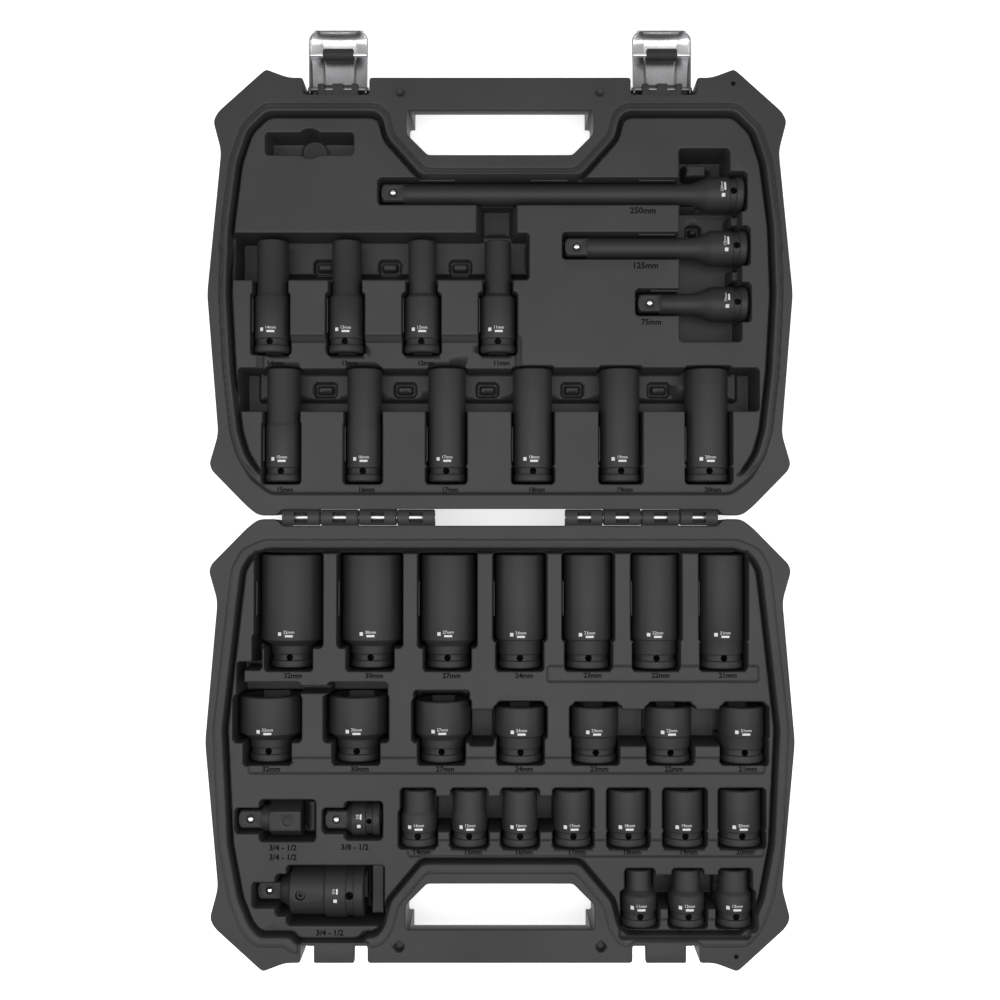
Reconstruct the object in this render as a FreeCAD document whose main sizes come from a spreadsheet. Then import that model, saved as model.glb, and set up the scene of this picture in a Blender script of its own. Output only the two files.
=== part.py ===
import FreeCAD
import Part
import math
import os
import Sketcher
from FreeCAD import Placement, Rotation, Vector

# Impact socket set lying in an open two-half blow-moulded case.
# X runs along the hinge, Y from the base half (-) to the lid half (+), Z up.
# "v" is the distance from the hinge line, measured outwards on either half.

doc = FreeCAD.newDocument("socket_case")
sheet = doc.addObject("Spreadsheet::Sheet", "sheet")

DIMENSIONS = {
    "rim_height": 48.0,
    "hinge_line_y": -15.6,
    "wall": 2.0,
    "skin": 2.2,
    "field_drop": 4.0,
    "axis_rise": 0.2,
    "knuckle_radius": 5.5,
    "knuckle_length": 26.0,
    "knuckle_gap": 0.6,
    "knuckle_web": 9.0,
    "pin_window_half": 4.65,
    "pin_window_depth": 3.4,
    "hinge_start": 44.0,
    "hinge_pin_radius": 1.9,
    "running_gap": 0.05,
    "handle_half_width": 64.0,
    "handle_v_near": 248.6,
    "handle_v_far": 279.4,
    "handle_chamfer": 14.4,
    "handle_thickness": 16.0,
    "grip_v_near": 270.0,
    "peg_radius": 2.7,
    "peg_height": 4.0,
    "peg_clearance": 0.5,
    "peg_x": 68.4,
    "peg_v": 291.0,
    "blow_hole_radius": 1.6,
    "blow_hole_x": 160.0,
    "blow_hole_v": 297.5,
    "beyond_front": 312.0,
    "latch_x": 112.5,
    "latch_v": 298.0,
    "latch_drop": 12.0,
    "latch_notch": 22.7,
    "latch_notch_v": 290.2,
    "latch_notch_below": 10.5,
    "bracket_half": 14.0,
    "bracket_v": 288.5,
    "bracket_thickness": 3.4,
    "latch_tab": 13.7,
    "catch_depth": 31.0,
    "catch_thickness": 7.0,
    "latch_half_width": 21.0,
    "latch_sheet": 1.2,
    "latch_length": 41.0,
    "latch_pin_radius": 1.5,
    "roller_offset": 24.0,
    "roller_radius": 4.4,
    "roller_length": 21.0,
    "roller_wire_radius": 1.25,
    "deep_length": 78.0,
    "ring_width": 4.7,
    "groove_end": 9.9,
    "groove_depth": 1.0,
    "cross_hole": 4.6,
    "female_square": 12.8,
    "female_depth": 16.0,
    "male_square": 12.6,
    "male_length": 15.0,
    "ball_radius": 2.75,
    "ball_rise": 1.2,
    "ball_seat": 0.5,
    "small_drive": 24.5,
    "large_drive": 30.4,
    "shaft_diameter": 15.0,
    "collar_length": 27.0,
    "tool_top_drop": 1.5,
    "pocket_side": 1.1,
    "pocket_end": 1.5,
    "rest_gap": 0.3,
}
MOUTH = {11: 18.4, 12: 19.4, 13: 20.4, 14: 21.8, 15: 23.0, 16: 24.0, 17: 26.0, 18: 27.2,
         19: 28.0, 20: 30.0, 21: 31.4, 22: 32.5, 23: 33.5, 24: 34.5, 27: 38.5, 30: 42.5, 32: 44.2}
for size, diameter in MOUTH.items():
    DIMENSIONS[f"mouth_{size}"] = diameter
for row, (alias, value) in enumerate(DIMENSIONS.items(), 1):
    sheet.set(f"A{row}", alias)
    sheet.set(f"B{row}", str(value))
    sheet.setAlias(f"B{row}", alias)
doc.recompute()


def number(expression):
    value = sheet.evalExpression(str(expression))
    return float(getattr(value, "Value", value))


def sheet_names(text):
    # Spreadsheet names in an expression are written @name for short.
    return str(text).replace("@", "sheet.")


def plane(body, role):
    return next(f for f in body.Origin.OriginFeatures if f.Role == role)


def add_loop(sketch, points):
    # Closed outline of straight edges, each corner tied to an expression.
    first = sketch.GeometryCount
    corners = [Vector(number(a), number(b), 0) for a, b in points]
    count = len(corners)
    sketch.addGeometry([Part.LineSegment(corners[i], corners[(i + 1) % count])
                        for i in range(count)], False)
    sketch.addConstraint([Sketcher.Constraint("Coincident", first + i, 2,
                                              first + (i + 1) % count, 1)
                          for i in range(count)])
    for i, pair in enumerate(points):
        position = (corners[i].x, corners[i].y)
        for kind, line, expression, value in (("DistanceX", -2, pair[0], position[0]),
                                              ("DistanceY", -1, pair[1], position[1])):
            if abs(value) < 1e-9:
                sketch.addConstraint(Sketcher.Constraint("PointOnObject", first + i, 1, line))
            else:
                index = sketch.addConstraint(
                    Sketcher.Constraint(kind, -1, 1, first + i, 1, value))
                sketch.setExpression(f"Constraints[{index}]", str(expression))


def sketch_on(body, name, role, loops, height=None):
    sketch = body.newObject("Sketcher::SketchObject", name)
    sketch.AttachmentSupport = [(plane(body, role), "")]
    sketch.MapMode = "FlatFace"
    if height is not None:
        sketch.AttachmentOffset = Placement(Vector(0, 0, number(sheet_names(height))), Rotation())
        sketch.setExpression("AttachmentOffset.Base.z", sheet_names(height))
    for points in loops:
        add_loop(sketch, [(sheet_names(a), sheet_names(b)) for a, b in points])
    return sketch


def new_body(label):
    body = doc.addObject("PartDesign::Body", label)
    body.Label = label
    return body


def turn(body, points):
    # Revolves a half profile of (radius, height) corners round the local Z axis.
    profile = sketch_on(body, body.Name + "_profile", "XZ_Plane", [points])
    feature = body.newObject("PartDesign::Revolution", body.Name + "_turned")
    feature.Profile = profile
    feature.ReferenceAxis = (profile, ["V_Axis"])
    feature.Angle = 360
    profile.Visibility = False
    return feature


def cut(body, name, role, loops, depth, height=None, reverse=False, both=False):
    profile = sketch_on(body, f"{body.Name}_{name}", role, loops, height)
    feature = body.newObject("PartDesign::Pocket", f"{body.Name}_{name}_cut")
    feature.Profile = profile
    feature.Length = number(sheet_names(depth))
    feature.setExpression("Length", sheet_names(depth))
    feature.Reversed = reverse
    feature.Midplane = both
    profile.Visibility = False
    return feature


def regular_hex(across_flats):
    half = f"({across_flats}) / 2"
    corner = f"({across_flats}) * 0.57735"
    return [(corner, "0"), (f"{corner} / 2", half), (f"-{corner} / 2", half),
            (f"-{corner}", "0"), (f"-{corner} / 2", f"-{half}"), (f"{corner} / 2", f"-{half}")]


def square(half):
    return [(half, half), (f"-({half})", half), (f"-({half})", f"-({half})"),
            (half, f"-({half})")]


def hole_sketch(body, name, diameter, height):
    # A round hole drawn on the XZ plane, so that it runs along local Y.
    sketch = body.newObject("Sketcher::SketchObject", f"{body.Name}_{name}")
    sketch.AttachmentSupport = [(plane(body, "XZ_Plane"), "")]
    sketch.MapMode = "FlatFace"
    centre = Vector(0, number(sheet_names(height)), 0)
    sketch.addGeometry(Part.Circle(centre, Vector(0, 0, 1), number(sheet_names(diameter)) / 2))
    sketch.addConstraint(Sketcher.Constraint("PointOnObject", 0, 3, -2))
    level = sketch.addConstraint(Sketcher.Constraint("DistanceY", -1, 1, 0, 3, centre.y))
    sketch.setExpression(f"Constraints[{level}]", sheet_names(height))
    width = sketch.addConstraint(
        Sketcher.Constraint("Diameter", 0, number(sheet_names(diameter))))
    sketch.setExpression(f"Constraints[{width}]", sheet_names(diameter))
    return sketch


def drill(body, name, diameter, height, reach, start=None):
    # Drills towards local -Y (the side that faces up once the tool is laid down).
    sketch = hole_sketch(body, name, diameter, height)
    if start is not None:
        sketch.AttachmentOffset = Placement(Vector(0, 0, number(sheet_names(start))), Rotation())
        sketch.setExpression("AttachmentOffset.Base.z", sheet_names(start))
    feature = body.newObject("PartDesign::Pocket", f"{body.Name}_{name}_cut")
    feature.Profile = sketch
    feature.Length = number(sheet_names(reach))
    feature.setExpression("Length", sheet_names(reach))
    feature.Reversed = True
    sketch.Visibility = False
    return feature


SHALLOW_LENGTH = {27: 42.0, 30: 45.0, 32: 45.0}


def socket_shape(size, deep):
    # (drive radius, end of the drive part, start of the mouth part, length)
    length = "@deep_length" if deep else str(SHALLOW_LENGTH.get(size, 38.0))
    if size <= 16:
        ends = ("38", "41") if deep else ("20.5", "24.5")
        return ("@small_drive / 2", ends[0], ends[1], length)
    if size <= 20:
        return (f"@mouth_{size} / 2", None, None, length)
    if size <= 24:
        ends = ("19", "19.8") if deep else ("17", "18.2")
        return ("@large_drive / 2", ends[0], ends[1], length)
    return ("@large_drive / 2", "15", "19.5", length)


def make_socket(label, size, deep):
    body = new_body(label)
    drive, neck, shoulder, length = socket_shape(size, deep)
    mouth = f"@mouth_{size} / 2"
    points = [("0", "0"), (f"{drive} - 0.9", "0"), (drive, "0.9"), (drive, "@ring_width"),
              (f"{drive} - @groove_depth", "@ring_width + 0.7"),
              (f"{drive} - @groove_depth", "@groove_end - 0.7"), (drive, "@groove_end")]
    if neck is not None:
        points += [(drive, neck), (mouth, shoulder)]
    points += [(mouth, f"{length} - 0.8"), (f"{mouth} - 0.8", length), ("0", length)]
    turn(body, points)
    hex_depth = f"0.42 * ({length})"
    cut(body, "hexagon", "XY_Plane", [regular_hex(f"{size} + 0.3")], hex_depth, length)
    cut(body, "drive_square", "XY_Plane", [square("@female_square / 2")], "@female_depth",
        reverse=True)
    bore = str(round(min(size * 0.40, 11.5), 2))
    eight = [(f"{bore} * {round(math.cos(math.radians(a)), 5)}",
              f"{bore} * {round(math.sin(math.radians(a)), 5)}")
             for a in (22.5, 67.5, 112.5, 157.5, 202.5, 247.5, 292.5, 337.5)]
    cut(body, "clearance", "XY_Plane", [eight], f"0.6 * ({length})", f"{length} - 0.3 * ({length})")
    drill(body, "cross_hole", "@cross_hole", "(@ring_width + @groove_end) / 2", "30")
    return body


def male_drive_cut(body, length):
    # Leaves a square bar with rounded corners at the low end of a turned blank.
    cut(body, "male_square", "XY_Plane", [square("20"), square("@male_square / 2")], length,
        reverse=True)


def make_extension(label, length):
    body = new_body(label)
    total = str(length)
    collar = "@small_drive / 2"
    shaft = "@shaft_diameter / 2"
    points = [("0", "0"), ("6.4", "0"), ("8.2", "1.8"), ("8.2", "@male_length"),
              (shaft, "@male_length + 2"), (shaft, f"{total} - @collar_length - 9"),
              (f"{shaft} + 1.6", f"{total} - @collar_length - 4"),
              (collar, f"{total} - @collar_length + 3"), (collar, f"{total} - @groove_end"),
              (f"{collar} - @groove_depth", f"{total} - @groove_end + 0.7"),
              (f"{collar} - @groove_depth", f"{total} - @ring_width - 0.7"),
              (collar, f"{total} - @ring_width"), (collar, f"{total} - 0.9"),
              (f"{collar} - 0.9", total), ("0", total)]
    turn(body, points)
    male_drive_cut(body, "@male_length")
    cut(body, "female_square", "XY_Plane", [square("@female_square / 2")], "@female_depth", total)
    drill(body, "cross_hole", "@cross_hole", f"{total} - (@ring_width + @groove_end) / 2", "30")
    drill(body, "ball_hole", "2 * (@ball_radius + @running_gap)", "8", "12", "@ball_seat")
    return body


def make_adapter_38():
    body = new_body("adapter_three_eighths")
    points = [("0", "0"), ("6.4", "0"), ("8.2", "1.8"), ("8.2", "15"),
              ("11.7", "19"), ("11.7", "27.6"), ("10.7", "28.3"), ("10.7", "32.3"),
              ("11.7", "33"), ("11.7", "36.8"), ("10.9", "37.5"), ("0", "37.5")]
    turn(body, points)
    male_drive_cut(body, "14.8")
    cut(body, "female_square", "XY_Plane", [square("4.85")], "13", "37.5")
    drill(body, "cross_hole", "3.8", "30.3", "30")
    drill(body, "ball_hole", "2 * (@ball_radius + @running_gap)", "7.5", "12", "@ball_seat")
    return body


def make_adapter_34():
    body = new_body("adapter_three_quarters")
    points = [("0", "0"), ("6.4", "0"), ("8.2", "1.8"), ("8.2", "15.5"), ("9", "16"),
              ("13", "22.5"), ("16.4", "23.2"), ("17.2", "24"), ("17.2", "46.5"),
              ("18.9", "48"), ("18.9", "61.5"), ("17.9", "62.2"), ("17.9", "66.8"),
              ("18.9", "67.5"), ("18.9", "73.2"), ("18.1", "74"), ("0", "74")]
    turn(body, points)
    male_drive_cut(body, "15.5")
    cut(body, "female_square", "XY_Plane", [square("9.6")], "24", "74")
    drill(body, "cross_hole", "5.6", "64.5", "30")
    drill(body, "screw_hole", "7.0", "31", "30", "9")
    drill(body, "ball_hole", "2 * (@ball_radius + @running_gap)", "8", "12", "@ball_seat")
    return body


def make_spare_tang():
    body = new_body("spare_tang")
    points = [("0", "0"), ("6.4", "0"), ("8.2", "1.8"), ("8.2", "15.5"), ("8.6", "16"),
              ("9.5", "21"), ("11.5", "21.8"), ("14", "23.2"), ("14", "41.6"), ("12.4", "43"),
              ("0", "43")]
    turn(body, points)
    male_drive_cut(body, "15.5")
    ring = [("20", "20"), ("-20", "20"), ("-20", "-20"), ("20", "-20")]
    cut(body, "hex_body", "XY_Plane", [ring, regular_hex("22")], "23", "43")
    drill(body, "dimple", "6.5", "34", "6", "9.6")
    drill(body, "ball_hole", "2 * (@ball_radius + @running_gap)", "8", "12", "@ball_seat")
    return body


def make_ball(label):
    ball = doc.addObject("Part::Sphere", label)
    ball.Label = label
    ball.setExpression("Radius", "sheet.ball_radius")
    return ball


def bind(obj, prop, expression):
    obj.setExpression(prop, sheet_names(expression))


def block(name, x, y, z):
    # Axis-aligned block between pairs of expressions.
    solid = doc.addObject("Part::Box", name)
    for prop, pair in (("Length", x), ("Width", y), ("Height", z)):
        bind(solid, prop, f"({pair[1]}) - ({pair[0]})")
    for axis, pair in (("x", x), ("y", y), ("z", z)):
        bind(solid, f"Placement.Base.{axis}", f"({pair[0]})")
    return solid


def rod(name, radius, length, base, along):
    # Round bar from base, along "x" or "z".
    solid = doc.addObject("Part::Cylinder", name)
    bind(solid, "Radius", radius)
    bind(solid, "Height", length)
    if along == "x":
        solid.Placement = Placement(Vector(0, 0, 0), Rotation(Vector(0, 1, 0), 90))
    for axis, expression in zip("xyz", base):
        bind(solid, f"Placement.Base.{axis}", expression)
    return solid


def prism(name, points, low, high):
    # Upright prism on a closed outline of (x, y) corners.
    body = doc.addObject("PartDesign::Body", name)
    profile = sketch_on(body, name + "_outline", "XY_Plane", [points], low)
    pad = body.newObject("PartDesign::Pad", name + "_pad")
    pad.Profile = profile
    pad.Length = 10
    bind(pad, "Length", f"({high}) - ({low})")
    profile.Visibility = False
    return body


def fuse(name, solids):
    joined = doc.addObject("Part::MultiFuse", name)
    joined.Shapes = solids
    return joined


def subtract(name, base, tool):
    result = doc.addObject("Part::Cut", name)
    result.Base = base
    result.Tool = tool
    return result


# ---- tool positions: centre x, low v, high v -----------------------------------
LID_SOCKETS = [
    (14, -158.0, 113.5), (13, -106.5, 113.5), (12, -54.0, 113.5), (11, -1.5, 113.5),
    (15, -150.0, 24.5), (16, -94.0, 24.5), (17, -36.8, 24.5), (18, 22.6, 24.5),
    (19, 83.0, 24.5), (20, 143.4, 24.5),
]
BASE_DEEP = [(32, -144.6, 103.6), (30, -89.0, 103.6), (27, -36.0, 103.6), (24, 13.6, 103.6),
             (23, 60.5, 103.6), (22, 107.0, 103.6), (21, 153.0, 103.6)]
BASE_SHALLOW = [
    (32, -159.0, 168.0), (30, -98.4, 168.0), (27, -40.0, 168.0), (24, 14.0, 168.0),
    (23, 65.4, 168.0), (22, 116.4, 168.0), (21, 167.0, 168.0),
    (14, -56.0, 224.5), (15, -21.0, 224.5), (16, 13.7, 224.5), (17, 50.0, 224.5),
    (18, 87.5, 224.5), (19, 126.2, 224.5), (20, 165.0, 224.5),
    (11, 95.4, 279.0), (12, 128.2, 279.0), (13, 160.5, 279.0),
]
EXTENSIONS = [(250, -82.0, 224.6), (125, 45.0, 187.0), (75, 95.4, 148.0)]
ADAPTERS = [("spare_tang", -179.0, 207.0, 12.7, 43.0),
            ("adapter_three_eighths", -119.5, 207.0, 11.7, 37.5),
            ("adapter_three_quarters", -167.0, 257.5, 18.9, 74.0)]

HALF = {"lid": 1.0, "base": -1.0}


def across(half, low, high):
    # Pair of y values for a stretch of v on one half.
    if half == "lid":
        return (low, high)
    return (f"-({high})", f"-({low})")


def pocket_pair(half, name, x, v, floor):
    # The hollow itself and the same hollow grown by the wall, for one recess.
    hollow = block(f"{half}_{name}", x, across(half, v[0], v[1]), (floor, "@rim_height + 1"))
    grown = block(f"{half}_{name}_wall", (f"{x[0]} - @wall", f"{x[1]} + @wall"),
                  across(half, f"{v[0]} - @wall", f"{v[1]} + @wall"),
                  (f"({floor}) - @wall", "@rim_height + 1"))
    return hollow, grown


def tool_top(size):
    # The largest sockets stand a little higher so that their floor keeps its wall.
    return "@rim_height - 0.9" if size == 32 else "@rim_height - @tool_top_drop"


def largest_radius(size):
    return f"max(@mouth_{size}; @small_drive) / 2" if size <= 16 else f"@mouth_{size} / 2"


def axis_height(size):
    return f"{tool_top(size)} - {largest_radius(size)}"


def socket_pockets(half, label, size, deep, x, drive_v):
    # A narrow part round the drive end and a wide part round the mouth end.
    drive, neck, shoulder, length = socket_shape(size, deep)
    direction = 1 if half == "lid" else -1
    mouth = f"@mouth_{size} / 2"
    # The deeper pocket covers the cone between the two diameters.
    drive_end = f"{shoulder or '12'} - 1"
    if size <= 16:
        drive_end = f"{shoulder} + 0.5"
    pieces = []
    spans = [("drive", drive, "-1 * @pocket_end", drive_end),
             ("mouth", mouth, f"{neck or '11'} - 0.5", f"{length} + @pocket_end")]
    for part, radius, near, far in spans:
        side = f"{radius} + @pocket_side"
        if direction > 0:
            v = (f"({drive_v} + {near})", f"({drive_v} + {far})")
        else:
            v = (f"({drive_v} - ({far}))", f"({drive_v} - ({near}))")
        floor = f"{axis_height(size)} - {radius} - @rest_gap"
        pieces.append(pocket_pair(half, f"{label}_{part}", (f"{x} - ({side})", f"{x} + ({side})"),
                                  v, floor))
    return pieces


LID_RECESSES = [
    ("spare_recess", (-161.5, -101.0), (250.0, 265.0), "@rim_height - 26"),
    ("row_one_channel", (-183.5, 20.0), (163.7, 195.4), "@rim_height - 34"),
    ("cross_channel", (-15.5, 9.5), (193.0, 218.0), "@rim_height - 34"),
    ("row_two_channel", (-180.0, 178.0), (73.3, 102.3), "@rim_height - 34"),
    ("collar_well", (123.5, 166.0), (121.0, 216.0), "@rim_height - 30"),
    ("finger_well", (123.5, 158.0), (231.0, 254.0), "@rim_height - 34"),
    ("shaft_250", (-84.0, 137.0), (215.6, 233.6), "@rim_height - 26"),
    ("collar_250", (136.0, 170.0), (211.2, 238.0), "@rim_height - 26.3"),
    ("shaft_125", (43.0, 140.0), (178.0, 196.0), "@rim_height - 26"),
    ("collar_125", (139.0, 172.0), (173.6, 200.4), "@rim_height - 26.3"),
    ("shaft_75", (93.4, 140.0), (139.0, 157.0), "@rim_height - 26"),
    ("collar_75", (139.0, 172.4), (134.6, 161.4), "@rim_height - 26.3"),
]
BASE_RECESSES = [
    ("finger_27_24", (-21.0, -4.0), (131.5, 156.0), "@rim_height - 34"),
    ("finger_23_22", (81.0, 101.0), (131.5, 156.0), "@rim_height - 34"),
    ("finger_22_21", (132.0, 152.0), (131.5, 156.0), "@rim_height - 34"),
    ("finger_14_17", (-45.0, 38.0), (190.5, 214.0), "@rim_height - 34"),
    ("finger_11_13", (106.0, 150.0), (244.0, 266.5), "@rim_height - 34"),
    ("tang_square", (-180.8, -160.0), (198.6, 215.4), "@rim_height - 24"),
    ("tang_body", (-164.0, -126.0), (193.0, 221.0), "@rim_height - 27.3"),
    ("small_square", (-121.2, -102.0), (198.6, 215.4), "@rim_height - 24"),
    ("small_body", (-106.0, -80.2), (194.2, 219.8), "@rim_height - 25.3"),
    ("large_square", (-169.0, -148.0), (249.1, 265.9), "@rim_height - 29"),
    ("large_cone", (-153.0, -142.0), (243.6, 271.4), "@rim_height - 34"),
    ("large_body", (-145.4, -79.0), (237.4, 277.6), "@rim_height - 39.6"),
]

# ---- case halves -----------------------------------------------------------------
# Right-hand corners of the outline as (half width, v), from the hinge forwards.
OUTLINE = [(44.0, 5.7), (150.0, 5.7), (154.0, 1.0), (164.8, 1.0), (172.3, 7.0),
           (196.9, 32.0), (198.4, 37.0), (192.6, 57.0), (200.8, 153.0), (191.4, 251.4),
           (196.9, 272.0), (193.6, 278.4), (164.2, 305.0), (160.7, 307.8), (145.3, 302.0)]
INNER = [(44.0, 8.0), (164.0, 8.0), (171.0, 9.2), (194.2, 33.0), (195.8, 37.0),
         (190.2, 57.0), (198.4, 153.0), (189.0, 251.4), (194.4, 272.0), (191.6, 277.4),
         (162.7, 303.2), (160.5, 305.2), (145.6, 299.8)]
FIELD = [(160.0, 21.0), (171.0, 26.0), (176.0, 36.0), (178.5, 57.0), (187.5, 144.0),
         (184.0, 222.0), (177.0, 258.4), (170.2, 275.3), (164.0, 282.6), (85.0, 282.6),
         (81.0, 277.0), (76.5, 259.7), (54.0, 233.0)]


def mirrored(half, corners, grow=0.0):
    # Full outline from its right-hand half; grow moves every corner outwards.
    sign = HALF[half]
    right = [(x + grow, v) for x, v in corners]
    if grow:
        right = [(x, v + (grow if v > 150 else -grow)) for x, v in right]
    left = [(-x, v) for x, v in reversed(right)]
    return [(str(x), str(round(sign * v, 3))) for x, v in right + left]


def handle_loop(half, grow):
    sign = HALF[half]
    side = f"(@handle_half_width + {grow})"
    near = f"(@handle_v_near - {grow})"
    far = f"(@handle_v_far + {grow})"
    step = f"(@handle_chamfer + {grow} * 0.41)"
    points = [(side, far), (side, f"{near} + {step}"), (f"{side} - {step}", near),
              (f"-({side} - {step})", near), (f"-{side}", f"{near} + {step}"),
              (f"-{side}", far)]
    return [(x, f"{sign} * ({v})") for x, v in points]


def tray_half(half, recesses, sockets):
    pairs = [pocket_pair(half, name, [str(a) for a in x], [str(b) for b in v], floor)
             for name, x, v, floor in recesses]
    for label, size, deep, x, v in sockets:
        pairs += socket_pockets(half, label, size, deep, x, v)
    hollows = [pair[0] for pair in pairs]
    walls = [pair[1] for pair in pairs]

    outer = prism(half + "_block", mirrored(half, OUTLINE), "0", "@rim_height")
    solids = [outer]

    # Hinge knuckles: the lid owns the first and third from the outside.
    axis = "@rim_height + @axis_rise"
    cuts = []
    first = 3 if half == "lid" else 2
    for side in (-1, 1):
        for slot in (first, first - 2):
            start = f"(@hinge_start + {slot} * @knuckle_length + @knuckle_gap / 2)"
            low = start if side > 0 else f"(-1 * {start} - @knuckle_length + @knuckle_gap)"
            tag = f"{half}_{'right' if side > 0 else 'left'}_{slot}"
            solids.append(rod(tag + "_knuckle", "@knuckle_radius",
                              "@knuckle_length - @knuckle_gap", (low, "0", axis), "x"))
            solids.append(block(tag + "_web", (low, f"{low} + @knuckle_length - @knuckle_gap"),
                                across(half, "0", "@knuckle_web"),
                                (f"{axis} - @knuckle_radius", "@rim_height")))
            middle = f"({low} + (@knuckle_length - @knuckle_gap) / 2)"
            cuts.append(block(tag + "_window", (f"{middle} - @pin_window_half",
                                                f"{middle} + @pin_window_half"),
                              ("-1 * @pin_window_depth", "@pin_window_depth"),
                              (axis, f"{axis} + @knuckle_radius + 2")))
        start = "(@hinge_start - 1)" if side > 0 else "(-1 * @hinge_start - 4 * @knuckle_length - 1)"
        cuts.append(rod(f"{half}_{'right' if side > 0 else 'left'}_pin_hole",
                        "@hinge_pin_radius + @running_gap", "4 * @knuckle_length + 2",
                        (start, "0", axis), "x"))

    # Front edge: latch brackets on the lid, catch tabs on the base.
    keep = []
    pivot = "(@rim_height - @latch_drop)"
    for side in (-1, 1):
        centre = f"({side} * @latch_x)"
        tag = f"{half}_{'right' if side > 0 else 'left'}"
        if half == "lid":
            depth = f"{pivot} - @latch_notch_below"
            notch = block(tag + "_notch", (f"{centre} - @latch_notch", f"{centre} + @latch_notch"),
                          ("@latch_notch_v", "@beyond_front"), (depth, "@rim_height + 1"))
            grown = block(tag + "_notch_wall",
                          (f"{centre} - @latch_notch - @wall", f"{centre} + @latch_notch + @wall"),
                          ("@latch_notch_v - @wall", "@beyond_front"),
                          (f"{depth} - @wall", "@rim_height + 1"))
            cuts.append(notch)
            bracket = block(tag + "_bracket",
                            (f"{centre} - @bracket_half", f"{centre} + @bracket_half"),
                            ("@bracket_v", "@latch_v + 3.2"),
                            (f"{pivot} - @bracket_thickness", f"{pivot} + @bracket_thickness"))
            openings = [block(f"{tag}_window_{n}", (f"{centre} + {a}", f"{centre} + {b}"),
                              ("@latch_v - 2.4", "@latch_v + 4"), (pivot, f"{pivot} + 5"))
                        for n, a, b in (("one", -9.5, -3.5), ("two", 3.5, 9.5))]
            openings.append(rod(tag + "_pivot_hole", "@latch_pin_radius + @running_gap",
                                "2 * @bracket_half + 4",
                                (f"{centre} - @bracket_half - 2", "@latch_v", pivot), "x"))
            keep.append(subtract(tag + "_bracket_bored", bracket,
                                 fuse(tag + "_bracket_cuts", openings)))
        else:
            recess = block(tag + "_catch", (f"{centre} - @latch_notch", f"{centre} + @latch_notch"),
                           across(half, "@latch_notch_v", "@beyond_front"),
                           ("@rim_height - @catch_depth", "@rim_height - @catch_thickness"))
            slots = [block(f"{tag}_slot_{n}", (f"{centre} + {a}", f"{centre} + {b}"),
                           across(half, "@latch_notch_v", "@beyond_front"),
                           ("@rim_height - @catch_thickness - 1", "@rim_height + 1"))
                     for n, a, b in (("one", "-1 * @latch_notch", "-1 * @latch_tab"),
                                     ("two", "@latch_tab", "@latch_notch"))]
            cuts += [recess] + slots
            grown = block(tag + "_catch_wall",
                          (f"{centre} - @latch_notch - @wall", f"{centre} + @latch_notch + @wall"),
                          across(half, "@latch_notch_v - @wall", "@beyond_front"),
                          ("@rim_height - @catch_depth - @wall", "@rim_height + 1"))
        walls.append(grown)
        spot = (f"{side} * @peg_x", f"{HALF[half]} * @peg_v")
        if half == "lid":
            solids.append(rod(tag + "_peg", "@peg_radius", "@peg_height + 1",
                              (spot[0], spot[1], "@rim_height - 1"), "z"))
        else:
            cuts.append(rod(tag + "_peg_hole", "@peg_radius + @peg_clearance",
                            "@peg_height + 2",
                            (spot[0], spot[1], "@rim_height - @peg_height - 1"), "z"))
            walls.append(rod(tag + "_peg_wall", "@peg_radius + @peg_clearance + @wall",
                             "@peg_height + 6",
                             (spot[0], spot[1], "@rim_height - @peg_height - 3"), "z"))

    # Handle: a window right through, and a bar thinner than the case.
    window = prism(half + "_handle_window", handle_loop(half, "0"), "-1", "@rim_height + 1")
    grip = block(half + "_grip_relief", ("-1 * @handle_half_width", "@handle_half_width"),
                 across(half, "@grip_v_near", "@beyond_front"),
                 ("-1", "@rim_height - @handle_thickness"))
    window_wall = prism(half + "_handle_wall", handle_loop(half, "@wall"), "0", "@rim_height")
    grip_wall = block(half + "_grip_wall",
                      ("-1 * @handle_half_width - @wall", "@handle_half_width + @wall"),
                      across(half, "@grip_v_near - @wall", "@beyond_front"),
                      ("0", "@rim_height - @handle_thickness + @wall"))
    walls += [window_wall, grip_wall]

    # Field, sunk below the rim.
    field = prism(half + "_field", mirrored(half, FIELD), "@rim_height - @field_drop",
                  "@rim_height + 1")
    field_wall = prism(half + "_field_wall", mirrored(half, FIELD, 2.0),
                       "@rim_height - @field_drop - @wall", "@rim_height + 2")
    walls.append(field_wall)

    # Space between the two skins, opened by the blow-pin hole.
    space = prism(half + "_space", mirrored(half, INNER), "@skin", "@rim_height - @skin")
    hollow_net = subtract(half + "_hollow", space, fuse(half + "_walls", walls))
    blow = rod(half + "_blow_hole", "@blow_hole_radius", "@skin + 3",
               ("@blow_hole_x", f"{HALF[half]} * @blow_hole_v", "@rim_height - @skin - 2"), "z")

    body = fuse(half + "_solid", solids)
    tools = fuse(half + "_cuts", hollows + cuts + [window, grip, field, blow, hollow_net])
    shell = subtract(half + "_carved", body, tools)
    if keep:
        shell = fuse(half + "_shell", [shell] + keep)
    else:
        shell.Label = half + "_shell"
    return shell


nodes = {}


def register(label, obj):
    obj.Label = label
    nodes[label] = obj
    return obj


def socket_label(size, deep):
    return f"{'deep' if deep else 'shallow'}_socket_{size}"


lid_list = [(socket_label(s, True), s, True, x, v) for s, x, v in LID_SOCKETS]
base_list = [(socket_label(s, True), s, True, x, v) for s, x, v in BASE_DEEP]
base_list += [(socket_label(s, False), s, False, x, v) for s, x, v in BASE_SHALLOW]

lid_shell = register("lid_shell", tray_half("lid", LID_RECESSES, lid_list))
base_shell = register("base_shell", tray_half("base", BASE_RECESSES, base_list))
for shell in (lid_shell, base_shell):
    bind(shell, "Placement.Base.y", "@hinge_line_y")


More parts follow.
